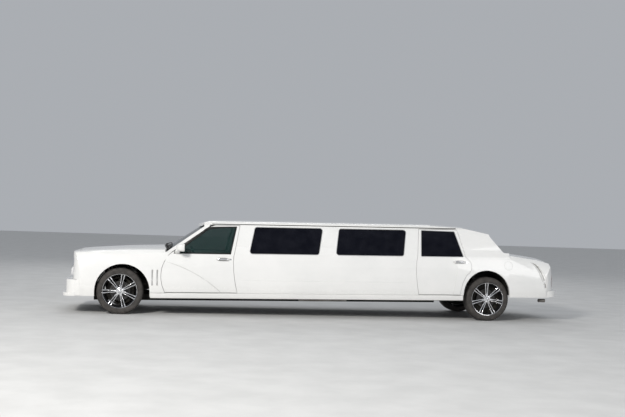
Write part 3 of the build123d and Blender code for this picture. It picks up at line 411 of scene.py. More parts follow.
def arc_points(p, m, q, steps):
    """Points evenly along the arc from p through m to q, without p."""
    (x1, y1), (x2, y2), (x3, y3) = p, m, q
    twice = 2 * (x1 * (y2 - y3) + x2 * (y3 - y1) + x3 * (y1 - y2))
    s1, s2, s3 = x1 * x1 + y1 * y1, x2 * x2 + y2 * y2, x3 * x3 + y3 * y3
    cx = (s1 * (y2 - y3) + s2 * (y3 - y1) + s3 * (y1 - y2)) / twice
    cy = (s1 * (x3 - x2) + s2 * (x1 - x3) + s3 * (x2 - x1)) / twice
    radius = hypot(x1 - cx, y1 - cy)
    begin = atan2(y1 - cy, x1 - cx)
    middle, sweep = ((atan2(y - cy, x - cx) - begin) % (2 * pi) for x, y in (m, q))
    if middle > sweep:
        sweep -= 2 * pi
    angles = [begin + sweep * i / steps for i in range(1, steps + 1)]
    return [(cx + radius * cos(t), cy + radius * sin(t)) for t in angles]


def flattened(moves, steps=6):
    """Corners of a closed outline whose moves of four numbers are arcs through a point."""
    points = [moves[0]]
    for move in moves[1:]:
        points += arc_points(points[-1], move[:2], move[2:], steps) if len(move) == 4 else [move]
    return points


def grown(points, amount):
    """The closed outline moved outward, its corners mitred, by an amount or a function of an edge's ends."""
    ahead = points[1:] + points[:1]
    turn = sum(x0 * y1 - x1 * y0 for (x0, y0), (x1, y1) in zip(points, ahead))
    sign = 1 if turn > 0 else -1
    width = amount if callable(amount) else lambda a, b: amount
    moved = []
    for before, here, after in zip(points[-1:] + points[:-1], points, ahead):
        (ax, ay), (x, y), (bx, by) = before, here, after
        one, two = hypot(x - ax, y - ay), hypot(bx - x, by - y)
        n1, n2 = ((y - ay) / one, (ax - x) / one), ((by - y) / two, (x - bx) / two)
        d1, d2 = sign * width(before, here), sign * width(here, after)
        cross = n1[0] * n2[1] - n1[1] * n2[0]
        if abs(cross) < 1e-3:
            moved.append((x + n1[0] * (d1 + d2) / 2, y + n1[1] * (d1 + d2) / 2))
        else:
            moved.append((x + (d1 * n2[1] - d2 * n1[1]) / cross, y + (d2 * n1[0] - d1 * n2[0]) / cross))
    return moved


def rounded(points, radius, steps=5):
    """A polygon with round corners."""
    out = []
    for before, here, after in zip(points[-1:] + points[:-1], points, points[1:] + points[:1]):
        p, a, b = Vector(here), Vector(before), Vector(after)
        u, v = (a - p).normalized(), (b - p).normalized()
        half = acos(max(-1, min(1, u.dot(v)))) / 2
        reach = radius / tan(half)
        middle = p + (u + v).normalized() * (radius / sin(half) - radius)
        first, last = p + u * reach, p + v * reach
        out += [tuple(first)] + arc_points(tuple(first), tuple(middle), tuple(last), steps)
    return out


def rectangle(x0, y0, x1, y1, radius):
    """Outline of a rectangle with round corners."""
    return rounded([(x0, y0), (x1, y0), (x1, y1), (x0, y1)], radius)


def disc(cx, cz, radius, steps=24, squash=1.0):
    """Points of a circle or ellipse in side view."""
    return [(cx + radius * cos(t), cz + radius * squash * sin(t)) for t in turns(steps)]


# Stations ahead of the car and behind it that level rays start from
RAY_AHEAD, RAY_BEHIND = -1500, 7900
TREES = {}


def surface(*names):
    """Search tree over CAD nodes."""
    if names not in TREES:
        verts, faces = [], []
        for name in names:
            mesh = NODES[name].data
            base = len(verts)
            verts += [v.co.copy() for v in mesh.vertices]
            faces += [tuple(base + i for i in p.vertices) for p in mesh.polygons]
        TREES[names] = BVHTree.FromPolygons(verts, faces)
    return TREES[names]


def from_side(names, side):
    """Lifts a (station, z) place onto the nodes' outer skin seen from one side, then outward by a height."""
    tree = surface(*names)

    def lift(x, z, height=0):
        p = level(x, side * 1300, z)
        hit = tree.ray_cast(p, RIGHTWARD * -side, 1.2)[0]
        y = (hit.y if hit else side * 0.95) + side * height / 1000
        return Vector((p.x, y, p.z))
    return lift


def end_ray(names, way, reach):
    """Casts level rays onto the nodes from ahead (-1) or behind (1); each gives its start, hit and normal."""
    tree = surface(*names)

    def cast(y, z):
        start = level(RAY_AHEAD if way < 0 else RAY_BEHIND, y, z)
        return start, *tree.ray_cast(start, AFT * -way, reach)[:2]
    return cast


def from_end(names, way):
    """Lifts a (y, z) place onto the nodes' skin seen from the front (-1) or the rear (1)."""
    cast = end_ray(names, way, 2.0)

    def lift(y, z, height=0):
        start, hit, _ = cast(y, z)
        return (hit or start - AFT * way * 0.7) + AFT * way * height / 1000
    return lift


def plate(shape, lift, points, height, sink=3, edge=2, tint=0, crown=0):
    """A thin plate that follows the skin under its outline, with a narrow chamfer."""
    inner = grown(points, -edge)
    shape.loft([
        [lift(*p, -sink) for p in points],
        [lift(*p, height - min(edge, height)) for p in points],
        [lift(*p, height) for p in inner],
    ], caps=False, tint=tint)
    base = len(shape.verts)
    centre = (sum(p[0] for p in inner) / len(inner), sum(p[1] for p in inner) / len(inner))
    shape.verts += [lift(*p, height) for p in inner] + [lift(*centre, height + crown)]
    n = len(inner)
    shape.faces += [(base + i, base + (i + 1) % n, base + n) for i in range(n)]
    shape.tints += [tint] * n


def frame_strip(shape, lift, outer, inner, height, sink_out=2, sink_in=8, tint=0):
    """A closed moulding between two outlines with the same number of corners, rounded on top."""
    mid_out = [tuple(a + (b - a) * 0.22 for a, b in zip(p, q)) for p, q in zip(outer, inner)]
    mid_in = [tuple(a + (b - a) * 0.78 for a, b in zip(p, q)) for p, q in zip(outer, inner)]
    rows = [
        (outer, -sink_out), (outer, height * 0.4), (mid_out, height), (mid_in, height),
        (inner, height * 0.4), (inner, -sink_in),
    ]
    shape.loft([[lift(*p, h) for p in points] for points, h in rows], around=True, tint=tint)


def ring_strip(shape, lift, middle, radii, steps, height, **more):
    """A round moulding between an outer and an inner radius."""
    outer, inner = (disc(*middle, radius, steps) for radius in radii)
    frame_strip(shape, lift, outer, inner, height, **more)


def tube(shape, points, radius, sides=10, tint=0):
    """Round bar along points in metres, radius in mm."""
    rings = []
    for i, p in enumerate(points):
        ahead = (points[min(i + 1, len(points) - 1)] - points[max(i - 1, 0)]).normalized()
        ref = Vector((0, 0, 1)) if abs(ahead.z) < 0.9 else Vector((1, 0, 0))
        u = ahead.cross(ref).normalized()
        v = ahead.cross(u)
        r = radius(i) if callable(radius) else radius
        rings.append([p + (u * cos(t) + v * sin(t)) * r / 1000 for t in turns(sides)])
    shape.loft(rings, tint=tint)


def pipe(shape, places, radius, sides=10, tint=0):
    """Round bar along places of the level body."""
    tube(shape, [level(*place) for place in places], radius, sides, tint)


# Wheels

def hub(end, side):
    """Middle of a wheel."""
    station = 0 if end == "front" else WHEELBASE
    return Vector(((FRONT_AXLE_X + station) / 1000, side * TRACK_HALF / 1000, TYRE_RADIUS / 1000))


# Columns of a spoke's sections: radius, y of the front, width, depth
SPOKE = (
    (30, -97, 18, 22),
    (70, -95, 18, 22),
    (130, -91, 17, 20),
    (200, -92, 18, 17),
    (240, -97, 20, 16),
    (259, -101, 24, 14),
)


def wheel(end, side, hand):
    turn = 23 if end == "front" else 11
    place = hub(end, side)
    body = f"{end}_wheel_{hand}"

    def at(r, y, t, across=0):
        """Point at a radius and angle. The wheel's outer side has negative y; across runs along the turn."""
        return place + Vector((r * cos(t) - across * sin(t), -side * y, r * sin(t) + across * cos(t))) / 1000

    # Tyre with ribbed sidewalls, four grooves and cross cuts at the shoulders
    half = [
        (276, -112), (281, -117), (288, -119.5), (297, -121.6), (300, -120.4), (304, -121.8), (320, -122.3),
        (326, -121),
    ]
    half += [(329, -122), (340, -117.5), (351, -111), (358, -104.5), (363, -98), (365.4, -92), (366, -86)]
    for y in (58, 20):
        half += [(366, -y - 4), (359, -y - 2.5), (359, -y + 2.5), (366, -y + 4)]
    profile = half + [(r, -y) for r, y in reversed(half)]
    rings, pitches = [], 72
    for i in range(pitches):
        for part, cut in ((0.0, False), (0.70, False), (0.74, True), (0.96, True)):
            t = 2 * pi * (i + part) / pitches
            ring = []
            for r, y in profile:
                sunk = 5 if cut and 62 < abs(y) < 108 and r > 352 else 0
                ring.append(at(r - sunk, y, t))
            rings.append(ring)
    tyre = Shape().loft(rings, around=True).finish(f"{end}_tyre_skin_{hand}", "tyre_rubber", body, smooth=30)
    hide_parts(f"{end}_tyre_{hand}")

    # Rim: polished lip, near-black barrel whose darkness is painted shade, twin thin spokes, hub cap with
    # nuts, and the brake disc behind, darkened by painted shade
    rim = Shape()
    lip = [
        (255, -90), (260, -100), (263, -109), (267, -115), (271, -116), (273.6, -113), (273.8, -100),
        (266, -92),
    ]
    barrel = [
        (256, -92), (267, -93), (267, 90), (273, 104), (273.8, 114), (269, 116), (263, 112), (257, 98),
        (249, 80), (246, -60), (249, -80),
    ]
    disc_profile = [(62, -36), (75, -36), (79, -21), (157, -20), (158, 1), (62, 1)]
    cap = [
        (0.1, -108.5), (14, -108), (24, -105.5), (29, -101), (31, -96), (38, -97.5), (50, -96.5), (57, -92),
        (59, -84), (59, -30), (0.1, -30),
    ]
    for section, tint, steps in ((lip, 0, 96), (barrel, 1, 96), (disc_profile, 2, 64), (cap, 0, 48)):
        rim.loft([[at(r, y, t) for r, y in section] for t in turns(steps)], around=True, tint=tint)
    for k in range(7):
        t = -radians(360 / 7 * k + turn)
        for hand_way in (-1, 1):
            beam = []
            for r, front, wide, deep in SPOKE:
                off = hand_way * (10 + (r - 30) * 0.058)
                w = wide / 2
                section = [(-w, 8), (-w + 1.5, 5), (-1, 0), (1, 0), (w - 1.5, 5), (w, 8)]
                section += [(w - 2, deep), (-w + 2, deep)]
                beam.append([at(r, front + y, t, off + a) for a, y in section])
            rim.loft(beam)
        web = []
        for r, front in ((34, -88), (60, -87), (84, -84)):
            w = 10 + (r - 30) * 0.058
            web.append([at(r, front + y, t, a) for a, y in ((-w, 0), (w, 0), (w, 12), (-w, 12))])
        rim.loft(web)
    for k in range(5):
        t = radians(72 * k + 10)
        for size, top in ((9, -104), (6, -106)):
            rim.loft([[at(45 + size * cos(a), y, t, size * sin(a)) for a in turns(6)] for y in (-95, top)])
    # Drill holes: dark spots on the disc, painted shade of the holes
    for k in range(24):
        t = 2 * pi * (k + 0.5) / 24
        reach = 122 + (k % 2) * 18
        rim.loft([[at(reach + 5 * cos(a), y, t, 5 * sin(a)) for a in turns(8)] for y in (-21, -20.4)], tint=1)
    tube(rim, [at(250, -88, radians(turn + 100)), at(238, -104, radians(turn + 100))], 3.2, tint=1)
    finishes = ("polished_alloy", "dark_alloy", "brake_disc_painted_shade")
    skin = rim.finish(f"{end}_rim_skin_{hand}", finishes, body, smooth=34)
    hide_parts(f"{end}_rim_{hand}")


for end in ("front", "rear"):
    for side, hand in SIDES:
        wheel(end, side, hand)


# Windows: opening outlines in side view, shared with the CAD source
FRONT_WINDOW = [
    (838, 978), (846, 1004), (1290, 1333), (1360, 1386, 1440, 1406), (1818, 1416), (1836, 1412, 1834, 1396),
    (1742, 994), (1736, 978, 1720, 976),
]
REAR_WINDOW = [(4881, 984), (4922, 1415.5), (5492, 1404), (5605.5, 983.5)]
STRETCH_WINDOWS = ((2036, 3172, 2136, 3258), (3452, 4586, 3526, 4664))
WINDOW_SILL, WINDOW_HEAD, WINDOW_CORNER = 984, 1417, 44


def shoulder_y(z):
    """Half width of the body side below the windows."""
    return SILL_Y + SHOULDER_LEAN * (SILL_Z - z)


def side_plane(side):
    """Lifts a (station, z) place onto the flat band that holds the side windows."""
    def lift(x, z, height=0):
        rise = (z - SILL_Z) / (WINDOW_TOP_Z - SILL_Z)
        y = SILL_Y + (WINDOW_TOP_Y - SILL_Y) * rise if z > SILL_Z else shoulder_y(z)
        return level(x, side * (y + height), z)
    return lift


def window_trim(name, outline, side, body, band=4, material="satin_trim", height=3.0):
    """Bright or black moulding on the opening's edge, with a rubber bead against the glass."""
    lift = side_plane(side)
    width = band if callable(band) else lambda a, b: band

    def inset(more):
        return grown(outline, lambda a, b: more - width(a, b))
    shape = Shape()
    frame_strip(shape, lift, grown(outline, 5), inset(0), height, sink_in=9)
    frame_strip(shape, lift, inset(1), inset(-6), -5, sink_out=-2, sink_in=9.5, tint=1)
    shape.finish(name, (material, "rubber_seal"), body)


PILLAR_SEAL, THIN_SEAL = 24, 7


def front_band(a, b):
    """The front door's seal is broad along the sloping pillar and thin elsewhere."""
    along, up = b[0] - a[0], b[1] - a[1]
    rising = along * up > 0 and max(a[0], b[0]) < 1450 and abs(along) > 8 and abs(up) > 4
    return PILLAR_SEAL if rising else THIN_SEAL


for side, hand in SIDES:
    for i, (low0, low1, top0, top1) in enumerate(STRETCH_WINDOWS):
        corners = [(low0, WINDOW_SILL), (low1, WINDOW_SILL), (top1, WINDOW_HEAD), (top0, WINDOW_HEAD)]
        window_trim(f"stretch_window_trim_{i + 1}_{hand}", rounded(corners, WINDOW_CORNER), side, "body")
    window_trim(f"rear_window_trim_{hand}", rounded(REAR_WINDOW, 16), side, f"rear_door_{hand}_body")
    opening, body = flattened(FRONT_WINDOW, 5), f"front_door_{hand}_body"
    window_trim(f"front_window_seal_{hand}", opening, side, body, front_band, "black_plastic", 1.5)

    # Sail plate ahead of the front window
    sail = Shape()
    corners = [(846, 982), (926, 982), (926, 1058), (918, 1062), (848, 1006)]
    plate(sail, side_plane(side), corners, 4.5, sink=6)
    sail.finish(f"mirror_sail_{hand}", "slot_grey", body)

    # Black strip under the roof's drip moulding: painted shadow of the drip's overhang
    seal = Shape()
    lip = ((749, 1448), (757.5, 1455), (756.5, 1461), (748, 1461))
    seal.loft([[level(x, side * y, z) for y, z in lip] for x in range(1440, 5521, 240)])
    seal.finish(f"drip_painted_shadow_{hand}", "rubber_seal")


# Doors: pulls and locks by their middles, and the outlines of the inner cards
HANDLES = {"front": (1612, 894), "rear": (5530, 902)}
CARDS = {
    "front": [(770, 400), (735, 640), (810, 930), (1735, 930), (1738, 640), (1785, 400)],
    "rear": [
        (4885, 400), (4856, 640), (4862, 930), (5560, 930), (5630, 860), (5590, 760), (5515, 560),
        (5496, 400),
    ],
}
for side, hand in SIDES:
    for end, (x, z) in HANDLES.items():
        body = f"{end}_door_{hand}_body"
        skin = side_plane(side)
        handle = Shape()
        # The grey cup round each pull is painted shade of the handle's recess.
        recess = disc(x + 4, z, 104, 40, squash=0.24)
        floor = disc(x + 4, z, 96, 40, squash=0.19)
        cup = ((recess, -4), (recess, 2.2), (floor, 1.0))
        handle.loft([[skin(*p, h) for p in ring] for ring, h in cup], tint=1)
        path = [(-92, 14), (-84, 30), (-62, 38.5), (-30, 41), (30, 41), (62, 38.5), (84, 30), (92, 14)]
        bar = []
        for dx, out in path:
            y = shoulder_y(z) + out - 5
            tall = 15.5 - abs(dx) * 0.035
            bar.append([level(x + dx, side * (y + 9 * cos(a)), z + tall * sin(a)) for a in turns(14)])
        handle.loft(bar)
        handle.finish(f"{end}_door_pull_{hand}", ("chrome", "slot_grey"), body)
        lock = Shape()
        plate(lock, skin, disc(x + 128, z - 4, 13, 20), 2.5)
        lock.box((x + 126, side * (SILL_Y + 22), z - 8), (x + 130, side * (SILL_Y + 20), z))
        lock.finish(f"{end}_door_lock_{hand}", "chrome", body)

        # Inner card with a padded armrest and two strips
        inner = Shape()
        layers = ((863, 0), (852, 0), (846, -8), (846, -14))
        inner.loft([[level(px, side * y, pz) for px, pz in grown(CARDS[end], more)] for y, more in layers])
        x0, x1 = (900, 1640) if end == "front" else (4930, 5480)
        pad_rows = []
        for px in spaced(x0, x1, 12):
            fat = 1 if 0 < (px - x0) < (x1 - x0) - 1 else 0.6
            around = [(838 - 24 * fat * cos(a), 640 + 34 * fat * sin(a)) for a in turns(12)]
            pad_rows.append([level(px, side * y, pz) for y, pz in around])
        inner.loft(pad_rows, tint=1)
        for n in range(2):
            strip_z = 520 - n * 60
            y0, y1 = sorted((side * 842, side * 848))
            inner.box((x0, y0, strip_z), (x1, y1, strip_z + 26), bevel=2, tint=1)
        inner.finish(f"{end}_door_card_{hand}", ("dash_plastic", "black_leather"), body)


# Side details on the fixed panels. Columns of the cove: level height, front edge, rear edge
COVE = (
    (912, 6768, 6796),
    (890, 6792, 6850),
    (869, 6818, 6888),
    (828, 6850, 6921),
    (786, 6879, 6949),
    (740, 6903, 6974),
    (680, 6928, 7000),
    (618, 6950, 7020),
    (550, 6978, 7038),
    (500, 7000, 7046),
    (484, 7012, 7044),
)
for side, hand in SIDES:
    fender = from_side((f"front_fender_{hand}",), side)
    vents = Shape()
    for x in (506, 584):
        low, high, r = 463, 716, 11
        outline_points = [(x - r, low + r)] + arc_points((x - r, low + r), (x, low), (x + r, low + r), 6)
        outline_points += [(x + r, high - r)] + arc_points((x + r, high - r), (x, high), (x - r, high - r), 6)
        plate(vents, fender, outline_points, 1.5, sink=2)
        for z in range(478, 706, 17):
            fin = ((0, 0), (0, 7), (5, 7), (9, 0))
            vents.loft([[fender(px, z + dz, h) for dz, h in fin] for px in (x - 8, x + 8)], tint=1)
    vents.finish(f"fender_vent_inserts_{hand}", ("slot_grey", "satin_trim"))

    # Faint swage along the lower third of the side panel
    panel = from_side((f"side_panel_{hand}",), side)
    swage = Shape()
    rows = []
    for x in range(1860, 4761, 145):
        tall = min(1, (x - 1860) / 290, (4760 - x) / 290)
        rows.append([panel(x, z, h * tall - 0.5) for z, h in ((552, -1), (556, 2.0), (563, 2.4), (592, -1))])
    swage.loft(rows)
    swage.finish(f"panel_swage_{hand}", "white_paint")

    # The front wing's flare ends in a soft crease that falls over the door to the sill. The grey strip along
    # it is painted shade of the crease.
    door = from_side((f"front_door_{hand}",), side)
    crease = Shape()
    path = flattened([(722, 842), (1128, 685, 1578, 374)], 18)
    rows = []
    for i, (x, z) in enumerate(path):
        wide = 9 * min(1, (i + 1) / 4)
        ridge = ((-wide, -0.8), (-wide * 0.4, 0.9), (wide * 0.4, 0.9), (wide, -0.8))
        rows.append([door(x + a * 0.5, z + a, h) for a, h in ridge])
    crease.loft(rows)
    crease.finish(f"flare_crease_shade_{hand}", "crease_grey", f"front_door_{hand}_body")

    # Grey shadow lining of the cove down the rear quarter
    tail = from_side((f"rear_quarter_{hand}",), side)
    cove = Shape()
    for tint, near, far in ((1, 0.0, 0.5), (0, 0.46, 1.0)):
        rows = []
        for z, x0, x1 in COVE:
            wide = spaced(near, far, 4)
            rows.append([tail(x0 + (x1 - x0) * k, z, 0.9 if 0 < i < 4 else -0.6) for i, k in enumerate(wide)])
        cove.loft(rows, loop=False, caps=False, tint=tint)
    cove.finish(f"quarter_cove_{hand}", ("slot_grey", "crease_grey"), slot="white_paint")


quarter = from_side(("rear_quarter_left",), -1)
cover = Shape()
ring_strip(cover, quarter, (6380, 849), (73, 70), 48, 0.6, tint=1)
plate(cover, quarter, disc(6380, 849, 69, 48), 2.0, edge=2)
plate(cover, quarter, disc(6436, 849, 9, 16), 3.0, edge=2)
cover.finish("fuel_door", ("white_paint", "crease_grey"))


# Brake dust shields, which close the view through the spokes
for side, hand in SIDES:
    for end, body in (("front", f"steering_knuckle_{hand}"), ("rear", "body")):
        place = hub(end, side)
        shield = Shape()

        def turned(section, angles):
            """Section of radius and y turned about the wheel's axis."""
            def at(r, y, t):
                return place + Vector((r * cos(t), -side * y, r * sin(t))) / 1000
            return [[at(r, y, t) for r, y in section] for t in angles]

        if end == "rear":
            section = [(62, 20), (150, 26), (196, 18), (240, 18), (243.5, 4)]
            section += [(245, 5), (241, 22), (197, 22), (152, 30), (62, 24)]
            shield.loft(turned(section, turns(64)), around=True)
        else:
            disc_cover = [(62, 20), (142, 25), (142, 29), (62, 24)]
            outer_ring = [(197, 18), (217, 18), (220.5, 4), (222, 5), (218, 22), (197, 22)]
            side_wing = [(138, 25), (199, 18), (199, 22), (138, 29)]
            shield.loft(turned(disc_cover, turns(64)), around=True)
            shield.loft(turned(outer_ring, turns(64)), around=True)
            for first in (-58, 122):
                shield.loft(turned(side_wing, spaced(radians(first), radians(first + 116), 20)))
        shield.finish(f"{end}_dust_shield_{hand}", "underbody", body, slot="bare_steel")


# Door mirrors: rounded housings that stand for the plain ones
def oval(u0, u1, v0, v1, lift, power=4.0, steps=28):
    """Squarish oval that fills a rectangle, lifted from its own plane."""
    ring = []
    for t in turns(steps):
        a, b = cos(t), sin(t)
        k = (abs(a) ** power + abs(b) ** power) ** (-1 / power)
        ring.append(lift((u0 + u1) / 2 + a * k * (u1 - u0) / 2, (v0 + v1) / 2 + b * k * (v1 - v0) / 2))
    return ring


for side, hand in SIDES:
    housing = Shape()
    rings = []
    for x, y0, y1, z0, z1 in (
        (1000, 1010, 1138, 1018, 1124),
        (1003.5, 1006, 1142, 1014, 1128),
        (999, 1004, 1146, 1012, 1130),
        (962, 1004, 1152, 1012, 1130),
        (925, 1010, 1148, 1016, 1128),
        (898, 1024, 1134, 1026, 1120),
        (882, 1042, 1114, 1040, 1108),
        (875, 1062, 1094, 1056, 1092),
    ):
        rings.append(oval(y0, y1, z0, z1, lambda y, z, x=x: level(x, side * y, z)))
    housing.loft(rings)
    rings = []
    for y, x0, x1, z0, z1 in (
        (944, 852, 932, 972, 1026),
        (968, 854, 930, 974, 1036),
        (1000, 862, 928, 988, 1052),
        (1030, 872, 926, 1012, 1060),
    ):
        rings.append(oval(x0, x1, z0, z1, lambda x, z, y=y: level(x, side * y, z)))
    housing.loft(rings)
    piece = housing.finish(f"mirror_housing_{hand}", "white_paint", f"front_door_{hand}_body", smooth=50)
    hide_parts(f"mirror_{hand}")


# Mirrors: silvered glass in a black bezel on the housing's rear face
for side, hand in SIDES:
    glass_outline = rectangle(1019, 1027, 1133, 1115, 20)

    def rear_face(y, z, height=0):
        return level(1004 + height, side * y, z)
    mirror = Shape()
    frame_strip(mirror, rear_face, grown(glass_outline, 3), grown(glass_outline, -5), 3.5, sink_in=1, tint=1)
    plate(mirror, rear_face, grown(glass_outline, -3), 1.5, sink=2)
    mirror.finish(f"mirror_glass_{hand}", ("mirror_glass", "black_plastic"), f"front_door_{hand}_body")


def end_outline(nodes, way, low, high, rows=14):
    """Outline in (y, z) of the nodes' face seen from one end, found row by row."""
    cast = end_ray(nodes, way, 5.0)

    def hit(y, z):
        return cast(y, z)[1]
    while not hit(0, low):
        low += 1
    while not hit(0, high):
        high -= 1
    edge = []
    for i in range(rows + 1):
        z = low + 3 + (high - low - 6) * i / rows
        inside, outside = 0, 1000
        for _ in range(14):
            middle = (inside + outside) / 2
            if hit(middle, z):
                inside = middle
            else:
                outside = middle
        edge.append((inside - 1, z))
    return edge + [(-y, z) for y, z in reversed(edge)]


def glass_from_end(node, way):
    """Lifts a (y, z) place onto a raked pane, outward along its slope."""
    cast = end_ray((node,), way, 5.0)

    def lift(y, z, height=0):
        _, hit, normal = cast(y, z)
        if hit is None:
            raise ValueError(f"{node}: no pane at {y:.0f}, {z:.0f}")
        normal = normal if normal.z > 0 else -normal
        return hit + normal * height / 1000
    return lift


for node, way, low, high, width in (("windscreen", -1, 960, 1480, 22), ("rear_window", 1, 960, 1460, 20)):
    edge = end_outline((node,), way, low, high)
    band = Shape()
    rows = [
        (grown(edge, -2), -2), (grown(edge, -2), 1.6), (grown(edge, -6), 2.4), (grown(edge, -width), 0.8),
        (grown(edge, -width - 1), -1),
    ]
    lift = glass_from_end(node, way)
    band.loft([[lift(*p, h) for p in points] for points, h in rows], around=True)
    band.finish(f"{node}_gasket", "rubber_seal")


# Black cowl cover that rises from the hood's rear edge to the foot of the windscreen
def hood_edge(y):
    """Station and level height of the hood's rear edge."""
    part = (y / 790) ** 2
    return 668 + 43 * part, 1090 - 47 * part


def screen_x(y, z):
    """Station of the windscreen's face."""
    return 686 + 95 * (y / 953) ** 2 + (z - 1038) * 1.5132


cover = Shape()
rows = []
for y in range(-780, 781, 60):
    x, z = hood_edge(y)
    rows.append([level(px, y, pz) for px, pz in (
        (x + 5, z - 20), (x + 6, z - 3), (x + 14, z + 2), (screen_x(y, z + 6) - 12, z + 5),
        (screen_x(y, z + 10) - 3, z + 13), (screen_x(y, z + 10) + 2, z + 7), (screen_x(y, z - 20), z - 20),
    )])
cover.loft(rows)
for k in range(-18, 19):
    y = k * 40
    x, z = hood_edge(y)
    rows = []
    for dy in (-13, 13):
        louvre = ((x + 20, z + 1), (x + 24, z + 5), (x + 44, z + 8), (x + 48, z + 5))
        rows.append([level(px, y + dy, pz) for px, pz in louvre])
    cover.loft(rows, tint=1)
cover.finish("cowl_cover", ("black_plastic", "gloss_black"))


# Wipers parked along the foot of the windscreen
screen = glass_from_end("windscreen", -1)
for name, pivot, tip_y, heel_y in (("left", -610, -190, -745), ("right", -20, 420, -130)):
    wiper = Shape()
    blade = []
    for k in range(13):
        y = heel_y + (tip_y - heel_y) * k / 12
        z = hood_edge(y)[1] + 15
        bend = 1 if 0 < k < 12 else 0.4
        base = screen(y, z, 3)
        up = (screen(y, z, 60) - screen(y, z, 0)).normalized()
        fore = (screen(y, z + 10, 0) - screen(y, z, 0)).normalized()
        section = [(-2, 0), (2, 0), (3, 7), (8 * bend, 10), (7 * bend, 15), (1, 18 * bend)]
        section += [(-7 * bend, 15), (-8 * bend, 10), (-3, 7)]
        blade.append([base + (fore * a + up * b) / 1000 for a, b in section])
    wiper.loft(blade)
    middle = (heel_y + tip_y) / 2
    edge_x, edge_z = hood_edge(pivot)
    foot = level(edge_x + 34, pivot, edge_z - 4)
    arm = [foot, foot + Vector((0, 0, 0.018))]
    top = screen(middle, hood_edge(middle)[1] + 18, 18)
    shaft = [arm[-1].lerp(top, part) + Vector((0, 0, lift)) for part, lift in ((0.15, 0.002), (0.6, 0.003))]
    arm += [*shaft, top]
    tube(wiper, arm, lambda i: (15, 13, 9, 6.5, 5)[i], sides=8)
    wiper.finish(f"wiper_{name}", "black_plastic")


# Nose: lamps, grille mesh, bumper intake and fog lamps
def bowl(shape, middle, profile, steps, tint=0):
    """Profile of radius and depth turned about the level X axis; depth runs inward from the face."""
    x, y, z = middle
    rings = [[level(x + d, y + r * cos(t), z + r * sin(t)) for r, d in profile] for t in turns(steps)]
    shape.loft(rings, loop=False, around=True, tint=tint)


for side, hand in SIDES:
    lens = from_end(("headlamps",), -1)
    lamp = Shape()

    def behind_lens(y, z, depth):
        """Station at a depth behind the lens."""
        return (lens(side * y, z) - level(0, side * y, z)).x * 1000 + depth

    for y in (496, 656):
        middle = (behind_lens(y, 790, 12), side * y, 790)
        mirror = [(78, 2), (80, -1), (76, -2), (70, 2), (62, 22), (48, 40), (30, 52), (12, 57)]
        bowl(lamp, middle, mirror, 40)
        bowl(lamp, middle, [(14, 57), (14, 34), (12, 27), (6, 23), (0.2, 22)], 20, tint=1)
        bowl(lamp, middle, [(20, 58), (20, 44), (17, 42), (14, 46)], 24)
    for k in range(7):
        z = 716 + k * 22
        rows = []
        for y in (752, 772, 792, 812, 830):
            face = behind_lens(y, z, 9)
            flute = ((10, -10), (1, -8), (0, 0), (1, 8), (10, 10))
            rows.append([level(face + d, side * y, z + dz) for d, dz in flute])
        lamp.loft(rows, loop=False, caps=False, tint=2)
    across = (404, 500, 600, 700, 744, 836)
    back = [[level(behind_lens(y, 790, 74), side * y, z) for z in (706, 874)] for y in across]
    lamp.loft(back, loop=False, caps=False, tint=3)
    finishes = ("mirror_glass", "pale_lens", "amber_lens", "satin_trim")
    lamp.finish(f"headlamp_bowls_{hand}", finishes, slot="lamp_glass")

    # Bright bezel over the edge of the lens
    bezel = Shape()
    edge = rectangle(side * 404, 704, side * 834, 876, 16)
    frame_strip(bezel, lens, edge, grown(edge, -9), 4, sink_in=2)
    bar = [(side * y, z) for y, z in ((745, 706), (750, 706), (750, 874), (745, 874))]
    core = [(side * y, z) for y, z in ((746.5, 708), (748.5, 708), (748.5, 872), (746.5, 872))]
    frame_strip(bezel, lens, bar, core, 2.5)
    bezel.finish(f"headlamp_bezel_{hand}", "chrome")


def grille_x(z, depth):
    """Station at a depth behind the grille's raked front."""
    return -836 + (z - 577) * 0.13 + depth


grille = Shape()
outer = rectangle(-329, 577, 329, 923, 16)
rows = []
for amount, depth in ((0, None), (0, 8), (-3, 2), (-9, 0), (-28, 0), (-34, 3), (-37, 9), (-37, 60)):
    ring = grown(outer, amount)
    rows.append([level(-704 if depth is None else grille_x(z, depth), y, z) for y, z in ring])
rows.append([level(-712, y, z) for y, z in grown(outer, -37)])
grille.loft(rows, around=True)
for k in range(-9, 10):
    section = [(-5, 110), (-5, 20), (-3.4, 15.5), (0, 14), (3.4, 15.5), (5, 20), (5, 110)]
    grille.loft([[level(min(-716, grille_x(z, d)), k * 30 + y, z) for y, d in section] for z in (611, 889)])
grille.box((-720, -296, 608), (-713, 296, 892), tint=1)
for z in range(626, 884, 16):
    grille.box((-726, -292, z), (-719, 292, z + 3), tint=1)
piece = grille.finish("grille_skin", ("chrome", "gloss_black"))
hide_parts("grille_shell", "grille_bars")

# Corners that carry the nose and the bumper's ends into the fenders, and the door's hinge corner
for side, hand in SIDES:
    corner = Shape()
    wedge = ((-694, 892), (-668, 925), (-668, 890), (-694, 860))
    corner.loft([[level(x, side * y, z) for x, y in wedge] for z in (546, 700, 862)])
    wrap = ((-692, 954), (-640, 958), (-612, 962), (-640, 930), (-668, 905), (-692, 905))
    heights = ((290, -6), (296, 0), (430, 0), (536, 0), (542, -4))
    corner.loft([[level(x, side * (y + dy), z) for x, y in wrap] for z, dy in heights])
    corner.finish(f"nose_corner_{hand}", "white_paint")
    filler = Shape()
    edge = [(694, 860), (714, 884), (731, 908), (752, 939), (694, 941)]
    filler.loft([[level(x, side * (974 - (z - 880) * 0.22 - d), z) for x, z in edge] for d in (2.5, 12)])
    cap = [(905, 262), (950, 258.5), (977.5, 268), (984.5, 296), (986.5, 335), (971.5, 349.5), (905, 349.5)]
    filler.loft([[level(x, side * y, z) for y, z in cap] for x in (476, 491)])
    filler.finish(f"hinge_corner_{hand}", "white_paint")

